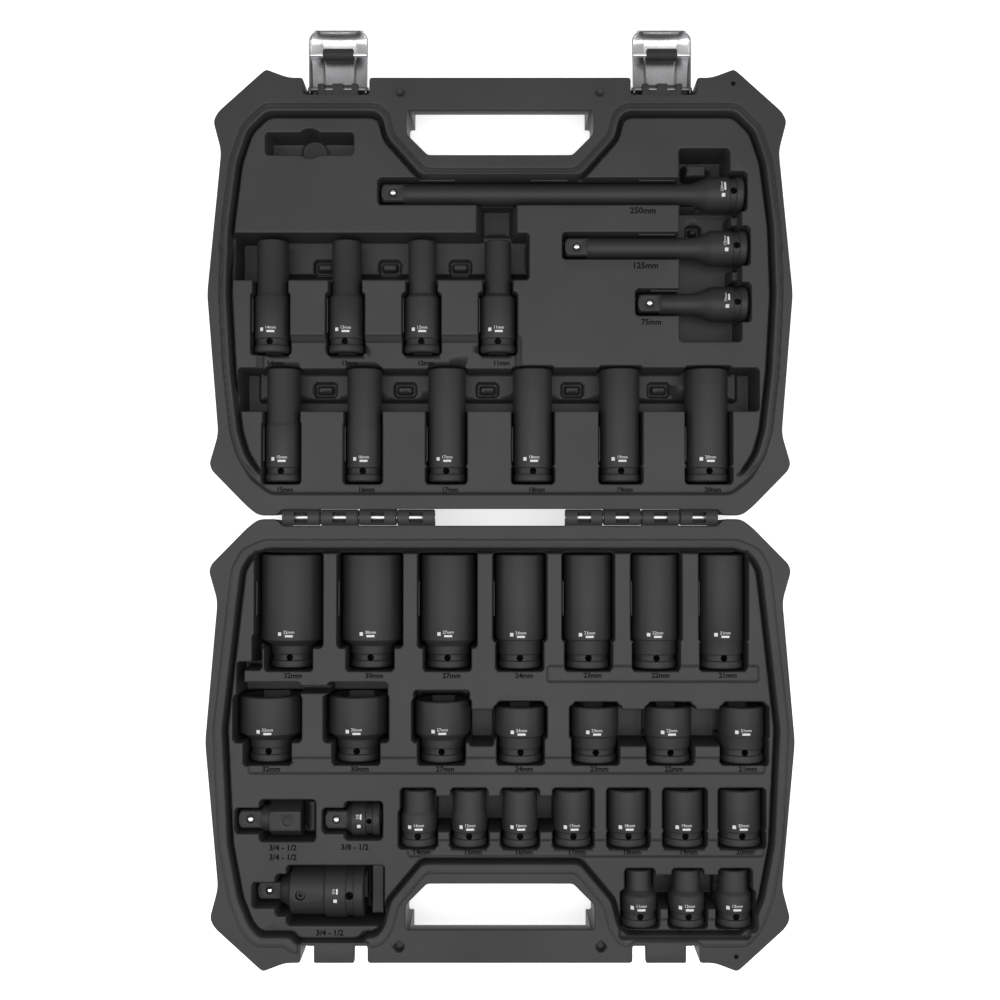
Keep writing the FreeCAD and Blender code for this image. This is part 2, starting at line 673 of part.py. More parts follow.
def lay(obj, along_x, x, y, z):
    # Lays a tool down: along +X, or with its mouth towards +Y. Local -Y ends facing up.
    if along_x:
        turned = Rotation(Vector(0, 1, 0), 90).multiply(Rotation(Vector(0, 0, 1), -90))
    else:
        turned = Rotation(Vector(1, 0, 0), -90)
    obj.Placement = Placement(Vector(0, 0, 0), turned)
    for axis, expression in (("x", x), ("y", y), ("z", z)):
        bind(obj, f"Placement.Base.{axis}", expression)


for half, group in (("lid", lid_list), ("base", base_list)):
    for label, size, deep, x, v in group:
        tool = register(label, make_socket(label, size, deep))
        lay(tool, False, str(x), f"@hinge_line_y + {HALF[half]} * {v}", axis_height(size))


def place_ball(owner, x, y, z):
    label = f"ball_{owner}"
    ball = register(label, make_ball(label))
    for axis, expression in (("x", x), ("y", y), ("z", z)):
        bind(ball, f"Placement.Base.{axis}", expression)


BALL_LIFT = "@male_square / 2 + @ball_rise - @ball_radius"
for length, x, v in EXTENSIONS:
    label = f"extension_{length}"
    tool = register(label, make_extension(label, length))
    level = "@rim_height - @tool_top_drop - @small_drive / 2"
    lay(tool, True, str(x), f"@hinge_line_y + {v}", level)
    place_ball(label, f"{x} + 8", f"@hinge_line_y + {v}", f"{level} + {BALL_LIFT}")

MAKERS = {"spare_tang": make_spare_tang, "adapter_three_eighths": make_adapter_38,
          "adapter_three_quarters": make_adapter_34}
for label, x, v, radius, length in ADAPTERS:
    tool = register(label, MAKERS[label]())
    level = f"@rim_height - @tool_top_drop - {radius}"
    lay(tool, True, str(x), f"@hinge_line_y - {v}", level)
    reach = 7.5 if label == "adapter_three_eighths" else 8.0
    place_ball(label, f"{x} + {reach}", f"@hinge_line_y - {v}", f"{level} + {BALL_LIFT}")

# Set screw of the largest adapter, sunk in its hole.
screw = new_body("set_screw")
turn(screw, [("0", "0"), ("2.8", "0"), ("3.45", "0.7"), ("3.45", "5.4"), ("2.9", "6"), ("0", "6")])
cut(screw, "key", "XY_Plane", [regular_hex("3")], "3", "6")
register("set_screw", screw)
screw.Placement = Placement(Vector(0, 0, 0), Rotation())
for axis, expression in (("x", "-167 + 31"), ("y", "@hinge_line_y - 257.5"),
                         ("z", "@rim_height - @tool_top_drop - 18.9 + 9.2")):
    bind(screw, f"Placement.Base.{axis}", expression)

# Hinge pins.
for side, start in (("left", "-1 * @hinge_start - 4 * @knuckle_length"), ("right", "@hinge_start")):
    register(f"hinge_pin_{side}",
             rod(f"hinge_pin_{side}", "@hinge_pin_radius", "4 * @knuckle_length",
                 (start, "@hinge_line_y", "@rim_height + @axis_rise"), "x"))


def make_latch(side):
    # Stamped cover, opened outwards; local origin on its pivot line.
    sign = -1 if side == "left" else 1
    cover = new_body(f"latch_cover_{side}")
    outside = [("-4", "-9"), ("@latch_length", "-9"), ("@latch_length", "-4.5"),
               ("30", "4"), ("-4", "4")]
    inside = [("-6", "-9 + @latch_sheet"), ("@latch_length - @latch_sheet", "-9 + @latch_sheet"),
              ("@latch_length - @latch_sheet", "8"), ("-6", "8")]
    profile = sketch_on(cover, cover.Name + "_side", "YZ_Plane", [outside])
    pad = cover.newObject("PartDesign::Pad", cover.Name + "_pad")
    pad.Profile = profile
    pad.Length = 42
    bind(pad, "Length", "2 * @latch_half_width")
    pad.Midplane = True
    profile.Visibility = False
    cut(cover, "inside", "YZ_Plane", [inside], "2 * (@latch_half_width - @latch_sheet)", both=True)
    taper = [("@latch_half_width - 1.8", "@latch_length + 1"), ("@latch_half_width + 3",
             "@latch_length + 1"), ("@latch_half_width + 3", "24")]
    mirror = [(f"-1 * ({a})", b) for a, b in reversed(taper)]
    cut(cover, "taper", "XY_Plane", [taper, mirror], "40", both=True)
    for name, y, radius in (("pivot", "0", "@latch_pin_radius"),
                            ("wire", "@roller_offset", "@roller_wire_radius")):
        holes = cover.newObject("Sketcher::SketchObject", f"{cover.Name}_{name}")
        holes.AttachmentSupport = [(plane(cover, "YZ_Plane"), "")]
        holes.MapMode = "FlatFace"
        centre = Vector(number(sheet_names(y)), 0, 0)
        size = number(sheet_names(f"2 * ({radius} + @running_gap)"))
        holes.addGeometry(Part.Circle(centre, Vector(0, 0, 1), size / 2))
        holes.addConstraint(Sketcher.Constraint("PointOnObject", 0, 3, -1))
        if centre.x:
            gap = holes.addConstraint(Sketcher.Constraint("DistanceX", -1, 1, 0, 3, centre.x))
            holes.setExpression(f"Constraints[{gap}]", sheet_names(y))
        else:
            holes.addConstraint(Sketcher.Constraint("PointOnObject", 0, 3, -2))
        width = holes.addConstraint(Sketcher.Constraint("Diameter", 0, size))
        holes.setExpression(f"Constraints[{width}]",
                            sheet_names(f"2 * ({radius} + @running_gap)"))
        drilled = cover.newObject("PartDesign::Pocket", f"{cover.Name}_{name}_cut")
        drilled.Profile = holes
        drilled.Length = 60
        drilled.Midplane = True
        holes.Visibility = False
    register(f"latch_cover_{side}", cover)
    pivot_z = "@rim_height - @latch_drop"
    pivot_y = "@hinge_line_y + @latch_v"
    centre = f"{sign} * @latch_x"
    for axis, expression in (("x", centre), ("y", pivot_y), ("z", pivot_z)):
        bind(cover, f"Placement.Base.{axis}", expression)
    register(f"latch_pin_{side}",
             rod(f"latch_pin_{side}", "@latch_pin_radius", "2 * @latch_half_width",
                 (f"{centre} - @latch_half_width", pivot_y, pivot_z), "x"))
    wire_y = f"{pivot_y} + @roller_offset"
    register(f"roller_wire_{side}",
             rod(f"roller_wire_{side}", "@roller_wire_radius", "2 * @latch_half_width - 0.4",
                 (f"{centre} - @latch_half_width + 0.2", wire_y, pivot_z), "x"))
    roller = new_body(f"roller_{side}")
    bore = "@roller_wire_radius + @running_gap"
    turn(roller, [(bore, "0"), ("@roller_radius - 0.6", "0"), ("@roller_radius", "0.6"),
                  ("@roller_radius", "@roller_length - 0.6"),
                  ("@roller_radius - 0.6", "@roller_length"), (bore, "@roller_length")])
    register(f"roller_{side}", roller)
    roller.Placement = Placement(Vector(0, 0, 0), Rotation(Vector(0, 1, 0), 90))
    for axis, expression in (("x", f"{centre} - @roller_length / 2"), ("y", wire_y),
                             ("z", pivot_z)):
        bind(roller, f"Placement.Base.{axis}", expression)


make_latch("left")
make_latch("right")

doc.recompute()

for obj in doc.Objects:
    if "Invalid" in obj.State or "Error" in obj.State:
        raise RuntimeError(f"{obj.Name} did not recompute")

os.makedirs("parts", exist_ok=True)
for label, obj in nodes.items():
    shape = obj.Shape
    if shape.isNull() or not shape.isValid() or len(shape.Solids) != 1:
        raise RuntimeError(f"{label} is not one valid solid: {len(shape.Solids)}")
    shape.exportStep(f"parts/{label}.step")
print(len(nodes), "nodes written")
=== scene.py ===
import math

import bmesh
import bpy
import numpy as np
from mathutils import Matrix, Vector
from mathutils.geometry import delaunay_2d_cdt


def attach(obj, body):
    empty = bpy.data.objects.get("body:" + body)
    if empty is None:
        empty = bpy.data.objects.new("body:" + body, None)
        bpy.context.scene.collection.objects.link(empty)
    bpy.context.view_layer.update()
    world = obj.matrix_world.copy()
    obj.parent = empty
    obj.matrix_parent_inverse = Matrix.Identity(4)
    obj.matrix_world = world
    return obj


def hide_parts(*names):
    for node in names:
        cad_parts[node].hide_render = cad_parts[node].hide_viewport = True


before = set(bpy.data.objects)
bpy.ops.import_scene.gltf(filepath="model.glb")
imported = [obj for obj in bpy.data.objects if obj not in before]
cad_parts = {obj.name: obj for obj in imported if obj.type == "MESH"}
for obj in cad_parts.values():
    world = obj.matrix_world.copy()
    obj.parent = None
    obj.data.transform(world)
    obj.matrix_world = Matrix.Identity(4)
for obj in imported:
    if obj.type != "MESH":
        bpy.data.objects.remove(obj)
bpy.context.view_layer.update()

# All sizes are in mm. A half's own v runs from the hinge line towards its handle, and its
# height z runs from the floor up to the rim.
MM = 0.001
SIGN = {"lid": 1.0, "base": -1.0}       # the way v runs along Y
RIM = 48.0                              # height of the rim's face
FIELD = 44.0                            # height of the face that holds the recesses
HINGE_Y = -15.6                         # the hinge line in the frame
STEP = 0.65                             # spacing of the grid that the recesses are shaped on
HINGE_AXIS = RIM + 0.2
GRIP_END = 61.4                         # half the length of the handle's thin bar
GRIP_FROM_V = 270.0
LATCH_X = 112.5
LATCH_V = 298.0
LATCH_PIVOT = RIM - 12.0
PEG_X = 68.4
PEG_V = 291.0
PEG_HEIGHT = 4.0
PEG_HOLE_RADIUS = 3.4
PEG_HOLE_DEPTH = 5.5

# ------------------------------------------------------------------ materials


def node_material(name, colour, roughness, metallic=0.0, variation=0.12, grain=0.0,
                  grain_scale=900.0, cloud_scale=18.0, roughness_spread=0.08, specular=0.5,
                  glow=0.0):
    """Principled surface with a faint cloudy colour, uneven gloss and a fine grain."""
    mat = bpy.data.materials.new(name)
    mat.use_nodes = True
    nodes = mat.node_tree.nodes
    links = mat.node_tree.links
    shader = nodes["Principled BSDF"]
    shader.inputs["Metallic"].default_value = metallic
    shader.inputs["Specular IOR Level"].default_value = specular
    if glow:
        shader.inputs["Emission Color"].default_value = (1, 1, 1, 1)
        shader.inputs["Emission Strength"].default_value = glow
    place = nodes.new("ShaderNodeTexCoord")
    clouds = nodes.new("ShaderNodeTexNoise")
    clouds.inputs["Scale"].default_value = cloud_scale
    clouds.inputs["Detail"].default_value = 4.0
    links.new(place.outputs["Object"], clouds.inputs["Vector"])
    tint = nodes.new("ShaderNodeValToRGB")
    dark = [c * (1 - variation) for c in colour] + [1]
    light = [min(1.0, c * (1 + variation)) for c in colour] + [1]
    tint.color_ramp.elements[0].position = 0.3
    tint.color_ramp.elements[0].color = dark
    tint.color_ramp.elements[1].position = 0.7
    tint.color_ramp.elements[1].color = light
    links.new(clouds.outputs["Fac"], tint.inputs["Fac"])
    links.new(tint.outputs["Color"], shader.inputs["Base Color"])
    gloss = nodes.new("ShaderNodeMapRange")
    gloss.inputs["To Min"].default_value = roughness - roughness_spread
    gloss.inputs["To Max"].default_value = roughness + roughness_spread
    fine = nodes.new("ShaderNodeTexNoise")
    fine.inputs["Scale"].default_value = grain_scale
    fine.inputs["Detail"].default_value = 2.0
    links.new(place.outputs["Object"], fine.inputs["Vector"])
    links.new(fine.outputs["Fac"], gloss.inputs["Value"])
    links.new(gloss.outputs["Result"], shader.inputs["Roughness"])
    if grain:
        bump = nodes.new("ShaderNodeBump")
        bump.inputs["Strength"].default_value = grain
        bump.inputs["Distance"].default_value = 0.0002
        links.new(fine.outputs["Fac"], bump.inputs["Height"])
        links.new(bump.outputs["Normal"], shader.inputs["Normal"])
    return mat


CASE = node_material("case_plastic", (0.031, 0.031, 0.033), 0.5, grain=0.25, grain_scale=1400,
                     specular=0.3)
STEEL = node_material("black_phosphate", (0.019, 0.019, 0.019), 0.5, grain=0.12,
                      grain_scale=2200, variation=0.12, specular=0.32)
MARK = node_material("laser_mark", (0.62, 0.62, 0.62), 0.7, variation=0.1)
# Near-black painted shade for the engraved lettering and the blow hole, which are drawn flat
# instead of as real hollows.
PAINTED_HOLLOW_SHADE = node_material("engraved", (0.004, 0.004, 0.005), 0.9, specular=0.1)
BRIGHT = node_material("bright_steel", (0.8, 0.8, 0.8), 0.4, metallic=1.0, variation=0.05)
POLISHED = node_material("polished_steel", (0.9, 0.9, 0.9), 0.12, metallic=1.0, variation=0.03,
                         roughness_spread=0.03)
DULL = node_material("dull_steel", (0.22, 0.22, 0.22), 0.5, metallic=1.0)
CHROME = node_material("latch_chrome", (0.78, 0.78, 0.80), 0.28, metallic=1.0, variation=0.1,
                       roughness_spread=0.02, cloud_scale=60)
RUBBER = node_material("roller_rubber", (0.02, 0.02, 0.02), 0.6, grain=0.2, specular=0.3)
FLOOR = node_material("studio_floor", (0.93, 0.93, 0.93), 0.8, variation=0.004, glow=0.6)


def paint_reflection_along_y(mat, start, end, least):
    """Painted reflection: darkens a material along Y, in metres, down to the least share at the
    start.
    """
    nodes = mat.node_tree.nodes
    links = mat.node_tree.links
    base = nodes["Principled BSDF"].inputs["Base Color"]
    colour = base.links[0].from_socket
    place = nodes.new("ShaderNodeTexCoord")
    parts = nodes.new("ShaderNodeSeparateXYZ")
    links.new(place.outputs["Object"], parts.inputs["Vector"])
    fade = nodes.new("ShaderNodeMapRange")
    fade.inputs["From Min"].default_value = start
    fade.inputs["From Max"].default_value = end
    fade.inputs["To Min"].default_value = least
    links.new(parts.outputs["Y"], fade.inputs["Value"])
    darken = nodes.new("ShaderNodeVectorMath")
    darken.operation = "SCALE"
    links.new(colour, darken.inputs[0])
    links.new(fade.outputs["Result"], darken.inputs["Scale"])
    links.new(darken.outputs["Vector"], base)


# Painted reflection on the latch covers' chrome: darker towards the pivot, in place of the dark
# surroundings it would reflect.
paint_reflection_along_y(CHROME, start=0.284, end=0.312, least=0.3)


# ------------------------------------------------------------------ mesh helpers


def make_object(name, vertices, faces, material, smooth=True):
    mesh = bpy.data.meshes.new(name)
    mesh.from_pydata([tuple(v) for v in vertices], [], [tuple(f) for f in faces])
    mesh.update()
    obj = bpy.data.objects.new(name, mesh)
    bpy.context.scene.collection.objects.link(obj)
    mesh.materials.append(material)
    if smooth:
        mesh.polygons.foreach_set("use_smooth", [True] * len(mesh.polygons))
    return obj


def apply_modifiers(obj):
    """Bakes the modifiers into the mesh."""
    graph = bpy.context.evaluated_depsgraph_get()
    mesh = bpy.data.meshes.new_from_object(obj.evaluated_get(graph))
    old = obj.data
    obj.modifiers.clear()
    obj.data = mesh
    bpy.data.meshes.remove(old)


def sharpen(obj, degrees=35):
    """Marks edges steeper than the angle sharp, so that the rest shades smooth."""
    limit = math.radians(degrees)
    mesh = bmesh.new()
    mesh.from_mesh(obj.data)
    for face in mesh.faces:
        face.smooth = True
    for edge in mesh.edges:
        edge.smooth = len(edge.link_faces) == 2 and edge.calc_face_angle(0.0) < limit
    mesh.to_mesh(obj.data)
    mesh.free()


def bevelled_box(name, low, high, material, radius=0.8, segments=3):
    """Box between two corners in mm, with rounded edges."""
    mesh = bmesh.new()
    bmesh.ops.create_cube(mesh, size=1.0)
    for vertex in mesh.verts:
        for i in range(3):
            vertex.co[i] = (low[i] + (vertex.co[i] + 0.5) * (high[i] - low[i])) * MM
    bmesh.ops.bevel(mesh, geom=mesh.edges[:], offset=radius * MM, segments=segments,
                    profile=0.5, affect="EDGES")
    data = bpy.data.meshes.new(name)
    mesh.to_mesh(data)
    mesh.free()
    obj = bpy.data.objects.new(name, data)
    bpy.context.scene.collection.objects.link(obj)
    data.materials.append(material)
    sharpen(obj, 50)
    return obj


def boolean(obj, other, operation):
    """Adds or cuts the other object, which is used up."""
    modifier = obj.modifiers.new("cut", "BOOLEAN")
    modifier.operation = operation
    modifier.solver = "EXACT"
    modifier.object = other
    apply_modifiers(obj)
    bpy.data.objects.remove(other)


def join(objects, name):
    """One object from several, keeping their materials."""
    bpy.ops.object.select_all(action="DESELECT")
    for obj in objects:
        obj.select_set(True)
    bpy.context.view_layer.objects.active = objects[0]
    bpy.ops.object.join()
    objects[0].name = name
    objects[0].data.name = name
    return objects[0]


def cylinder_x(name, x0, x1, y, z, radius, material, sides=40, chamfer=0.4):
    """Round bar along X, in mm, with small chamfers."""
    rings = [(x0, radius - chamfer), (x0 + chamfer, radius), (x1 - chamfer, radius),
             (x1, radius - chamfer)]
    vertices = []
    for x, r in rings:
        for i in range(sides):
            a = 2 * math.pi * i / sides
            vertices.append((x * MM, (y + r * math.cos(a)) * MM, (z + r * math.sin(a)) * MM))
    faces = []
    for ring in range(len(rings) - 1):
        for i in range(sides):
            j = (i + 1) % sides
            faces.append((ring * sides + i, (ring + 1) * sides + i,
                          (ring + 1) * sides + j, ring * sides + j))
    faces.append(tuple(range(sides)))
    last = (len(rings) - 1) * sides
    faces.append(tuple(last + i for i in reversed(range(sides))))
    obj = make_object(name, vertices, faces, material)
    sharpen(obj, 40)
    return obj


# ------------------------------------------------------------------ tool data

# Outside diameter at the mouth by size, and places as (size, x, v of the drive end).
MOUTH = {11: 18.4, 12: 19.4, 13: 20.4, 14: 21.8, 15: 23.0, 16: 24.0, 17: 26.0, 18: 27.2,
         19: 28.0, 20: 30.0, 21: 31.4, 22: 32.5, 23: 33.5, 24: 34.5, 27: 38.5, 30: 42.5, 32: 44.2}
SMALL_DRIVE = 24.5
LARGE_DRIVE = 30.4
DEEP_LENGTH = 78.0
SHALLOW_LENGTH = 38.0
LONG_SHALLOW = {27: 42.0, 30: 45.0, 32: 45.0}
LID_DEEP = [(14, -158.0, 113.5), (13, -106.5, 113.5), (12, -54.0, 113.5), (11, -1.5, 113.5),
            (15, -150.0, 24.5), (16, -94.0, 24.5), (17, -36.8, 24.5), (18, 22.6, 24.5),
            (19, 83.0, 24.5), (20, 143.4, 24.5)]
BASE_DEEP = [(32, -144.6, 103.6), (30, -89.0, 103.6), (27, -36.0, 103.6), (24, 13.6, 103.6),
             (23, 60.5, 103.6), (22, 107.0, 103.6), (21, 153.0, 103.6)]
BASE_SHALLOW = [(32, -159.0, 168.0), (30, -98.4, 168.0), (27, -40.0, 168.0), (24, 14.0, 168.0),
                (23, 65.4, 168.0), (22, 116.4, 168.0), (21, 167.0, 168.0),
                (14, -56.0, 224.5), (15, -21.0, 224.5), (16, 13.7, 224.5), (17, 50.0, 224.5),
                (18, 87.5, 224.5), (19, 126.2, 224.5), (20, 165.0, 224.5),
                (11, 95.4, 279.0), (12, 128.2, 279.0), (13, 160.5, 279.0)]


def socket_form(size, deep):
    """Drive radius, end of the drive part, start of the mouth part, length."""
    length = DEEP_LENGTH if deep else LONG_SHALLOW.get(size, SHALLOW_LENGTH)
    mouth = MOUTH[size] / 2
    if size <= 16:
        return (SMALL_DRIVE / 2,) + ((38.0, 41.0) if deep else (20.5, 24.5)) + (length,)
    if size <= 20:
        return mouth, None, None, length
    if size <= 24:
        return (LARGE_DRIVE / 2,) + ((19.0, 19.8) if deep else (17.0, 18.2)) + (length,)
    return LARGE_DRIVE / 2, 15.0, 19.5, length


def socket_axis(size):
    """Height of a stowed socket's axis: its widest part ends just under the rim."""
    top = RIM - (0.9 if size == 32 else 1.5)
    widest = max(MOUTH[size], SMALL_DRIVE) / 2 if size <= 16 else MOUTH[size] / 2
    return top - widest


# ------------------------------------------------------------------ case halves

# Right-hand corners (x, v) of the outlines, which are symmetric about x = 0.
OUTLINE = [(148.0, 5.7), (152.0, 1.2), (164.8, 1.2), (172.3, 7.0),
           (196.9, 32.0), (198.4, 37.0), (192.6, 57.0), (200.6, 153.0), (191.4, 251.4),
           (196.9, 272.0), (193.6, 278.4), (164.2, 305.0), (160.7, 307.8), (145.3, 302.0),
           (135.2, 302.0), (135.2, 290.2), (89.8, 290.2), (89.8, 302.0)]
RIM_LINE_LID = [(158, 13.3), (172, 24), (182, 40), (187, 57), (192, 100), (195, 153), (193.5, 200),
                (188, 245), (180, 269), (164, 285), (84, 285), (75.5, 279), (72, 264),
                (51, 240.4)]
FIELD_BASE = [(160.0, 22.3), (171.0, 27.0), (176.0, 36.0), (178.5, 57.0), (188.0, 144.0),
              (184.0, 222.0), (177.0, 258.4), (170.2, 275.3), (164.0, 282.6), (85.0, 282.6),
              (81.0, 277.0), (76.5, 259.7), (54.0, 233.0)]
WINDOW = [(64.0, 279.4), (64.0, 263.0), (49.6, 248.6)]

LID_LEDGE = 38.5                        # heights of the ledges that carry engraved sizes
BASE_LEDGE = 42.4
# Recesses: (x, x), (v, v), height of the floor, and where they differ, corner and draft.
LID_RECESSES = [
    ((-161.5, -101.0), (250.0, 265.0), 22.0),
    ((-140.9, -121.1), (247.8, 267.6), 20.0, 9.8, 0.7),
    ((-183.5, 20.0), (163.7, 195.4), 14.0),
    ((-16.0, 11.5), (188.0, 222.0), 14.0, 2.2, 4.0),
    ((-167.0, 14.5), (98.0, 125.0), LID_LEDGE, 2.5, 3.5),
    ((-180.0, 178.0), (73.3, 102.3), 14.0),
    ((123.5, 166.0), (121.0, 216.0), 18.0),
    ((123.5, 158.0), (231.0, 254.0), 14.0),
    ((-84.0, 137.0), (215.6, 233.6), 22.0),
    ((136.0, 170.0), (211.2, 238.0), 21.7),
    ((43.0, 140.0), (178.0, 196.0), 22.0),
    ((139.0, 172.0), (173.6, 200.4), 21.7),
    ((93.4, 140.0), (139.0, 157.0), 22.0),
    ((139.0, 172.4), (134.6, 161.4), 21.7),
]
BASE_RECESSES = [
    ((32.0, 177.0), (101.5, 112.5), BASE_LEDGE, 2.0, 0.5),
    ((-172.0, 181.0), (164.0, 175.0), BASE_LEDGE, 2.0, 0.5),
    ((-63.0, 180.0), (220.0, 231.5), BASE_LEDGE, 2.0, 0.5),
    ((82.0, 169.0), (273.8, 285.5), BASE_LEDGE, 2.0, 0.5),
    ((-21.0, -4.0), (131.5, 156.0), 14.0),
    ((81.0, 101.0), (131.5, 156.0), 14.0),
    ((132.0, 152.0), (131.5, 156.0), 14.0),
    ((-45.0, 38.0), (190.5, 214.0), 14.0),
    ((106.0, 150.0), (244.0, 266.5), 14.0),
    ((-180.8, -160.0), (198.6, 215.4), 24.0),
    ((-164.0, -126.0), (193.0, 221.0), 20.7),
    ((-121.2, -102.0), (198.6, 215.4), 24.0),
    ((-106.0, -80.2), (194.2, 219.8), 22.7),
    ((-169.0, -148.0), (249.1, 265.9), 19.0),
    ((-153.0, -142.0), (243.6, 271.4), 14.0),
    ((-145.4, -79.0), (237.4, 277.6), 8.4),
]

# Raised steps on the floors of the finger channels: x, x, v, v, height.
LID_STEPS = [(-172.0, 22.0, 170.5, 200.0, 20.0), (-171.0, 168.0, 81.5, 106.0, 20.0),
             (129.0, 146.0, 238.5, 249.5, 26.0), (159.5, 167.0, 201.5, 211.0, 33.0),
             (160.0, 168.0, 163.0, 173.0, 33.0)]
BASE_STEPS = [(-134.0, -126.0, 195.0, 219.0, 32.0), (-90.0, -79.0, 239.0, 276.0, 30.0)]
# Channels which join the recesses of the base: (x, x), (v, v), height.
BASE_CHANNELS = [((-169.4, -163.0), (80.0, 104.2), 20.0), ((-180.0, -163.0), (99.0, 104.2), 20.0),
                 ((-180.0, -175.0), (99.0, 124.0), 20.0), ((-180.0, -136.5), (113.0, 124.0), 16.0),
                 ((-118.0, -77.0), (113.0, 124.0), 16.0), ((-138.0, -116.0), (115.5, 120.0), 28.0),
                 ((-59.0, -21.0), (118.5, 131.0), 18.0), ((-2.0, 30.5), (126.0, 136.0), 20.0),
                 ((50.0, 81.0), (126.3, 136.0), 20.0), ((101.5, 131.5), (126.3, 136.0), 20.0),
                 ((152.5, 181.5), (126.3, 136.0), 20.0), ((-180.0, -175.0), (146.0, 152.0), 24.0)]
# Grooves round the small pads on those floors: x, x, v, v.
LID_RINGS = [(-132.0, -115.5, 171.5, 182.5), (-86.0, -70.0, 171.5, 182.5),
             (-36.0, -20.0, 171.5, 182.5), (-131.5, -115.0, 84.5, 95.5),
             (-75.0, -59.0, 84.5, 95.5), (-17.0, -1.0, 84.5, 95.5), (43.0, 59.0, 84.5, 95.5),
             (104.0, 120.0, 84.5, 95.5), (131.5, 142.5, 197.5, 207.5)]
RING_DEPTH = 5.0
RING_WIDTH = 3.5

SOCKET_SIDE_GAP = 1.1                   # free space round a stowed socket
SOCKET_END_GAP = 1.5
SOCKET_FLOOR_GAP = 0.3


def socket_recesses(size, deep, x, drive_v, direction):
    """The two recesses of a socket: round its drive end and round its mouth end."""
    drive, neck, shoulder, length = socket_form(size, deep)
    drive_end = (shoulder or 12.0) + (0.5 if size <= 16 else -1.0)
    start = neck if neck is not None else 11.0
    found = []
    for radius, near, far in ((drive, -SOCKET_END_GAP, drive_end),
                              (MOUTH[size] / 2, start - 0.5, length + SOCKET_END_GAP)):
        side = radius + SOCKET_SIDE_GAP
        v = sorted((drive_v + direction * near, drive_v + direction * far))
        found.append(((x - side, x + side), tuple(v),
                      socket_axis(size) - radius - SOCKET_FLOOR_GAP))
    return found


OUTER_CORNERS_FROM = 141.0
OUTER_CORNER_SHARE = 2.4


def full_loop(right):
    """Whole outline from its right-hand corners, counter-clockwise in (x, v)."""
    return [(float(x), float(v)) for x, v in right] + [(-float(x), float(v))
                                                       for x, v in reversed(right)]


def rounded(points, radius, pieces=5):
    """Outline with each corner replaced by a short arc."""
    smooth = []
    count = len(points)
    for i in range(count):
        here = Vector(points[i])
        before = Vector(points[i - 1]) - here
        after = Vector(points[(i + 1) % count]) - here
        wide = OUTER_CORNER_SHARE if abs(here.x) > OUTER_CORNERS_FROM else 1.0
        reach = min(radius * wide, before.length * 0.45, after.length * 0.45)
        a = here + before.normalized() * reach
        b = here + after.normalized() * reach
        for k in range(pieces + 1):
            t = k / pieces
            smooth.append(tuple(a * (1 - t) ** 2 + here * 2 * t * (1 - t) + b * t * t))
    return smooth


def inset(points, distance):
    """Moves the edges of a counter-clockwise outline inwards by the distance."""
    count = len(points)
    moved = []
    for i in range(count):
        here = Vector(points[i])
        before = (here - Vector(points[i - 1])).normalized()
        after = (Vector(points[(i + 1) % count]) - here).normalized()
        normal = Vector((-before.y - after.y, before.x + after.x)).normalized()
        spread = max(0.3, normal.dot(Vector((-after.y, after.x))))
        moved.append(tuple(here + normal * (distance / spread)))
    return moved


def inside_distance(px, py, points):
    """Distance from an outline, positive inside it, on arrays of points."""
    nearest = np.full(px.shape, 1e9)
    winding = np.zeros(px.shape, dtype=bool)
    count = len(points)
    for i in range(count):
        ax, ay = points[i]
        bx, by = points[(i + 1) % count]
        ex, ey = bx - ax, by - ay
        length = ex * ex + ey * ey
        if length < 1e-12:
            continue
        t = np.clip(((px - ax) * ex + (py - ay) * ey) / length, 0, 1)
        nearest = np.minimum(nearest, (px - ax - t * ex) ** 2 + (py - ay - t * ey) ** 2)
        if ay != by:
            crosses = (ay > py) != (by > py)
            winding ^= crosses & (px < ex * (py - ay) / ey + ax)
    nearest = np.sqrt(nearest)
    return np.where(winding, nearest, -nearest)


def soften(field, cells):
    """Box blur, twice, which rounds the corners of a distance field."""
    for _ in range(2):
        for axis in (0, 1):
            padded = np.concatenate([np.repeat(np.take(field, [0], axis), cells, axis), field,
                                     np.repeat(np.take(field, [-1], axis), cells, axis)], axis)
            total = np.cumsum(padded, axis)
            width = 2 * cells
            total = np.concatenate([np.zeros_like(np.take(total, [0], axis)), total], axis)
            size = field.shape[axis]
            high = np.take(total, np.arange(width, width + size), axis)
            low = np.take(total, np.arange(0, size), axis)
            field = (high - low) / width
    return field


def wall_drop(s, depth, edge=1.1, draft=0.7, fillet=1.6):
    """How far a recess has dropped at a distance s inside its edge.

    The wall has a rounded edge, leans inwards by the draft, and ends in a fillet."""
    fillet = min(fillet, depth * 0.4)
    edge = min(edge, depth * 0.5)
    drop = np.zeros_like(s)
    top = (s > -edge) & (s <= 0)
    drop[top] = edge - np.sqrt(np.maximum(edge ** 2 - (s[top] + edge) ** 2, 0))
    side = (s > 0) & (s <= draft)
    drop[side] = edge + (depth - edge - fillet) * s[side] / draft
    low = (s > draft) & (s <= draft + fillet)
    drop[low] = depth - fillet + np.sqrt(
        np.maximum(fillet ** 2 - (draft + fillet - s[low]) ** 2, 0))
    drop[s > draft + fillet] = depth
    return drop


def profile_height(t, stations):
    """Height at a distance t, from (distance, height) stations."""
    return np.interp(t, [s[0] for s in stations], [s[1] for s in stations])


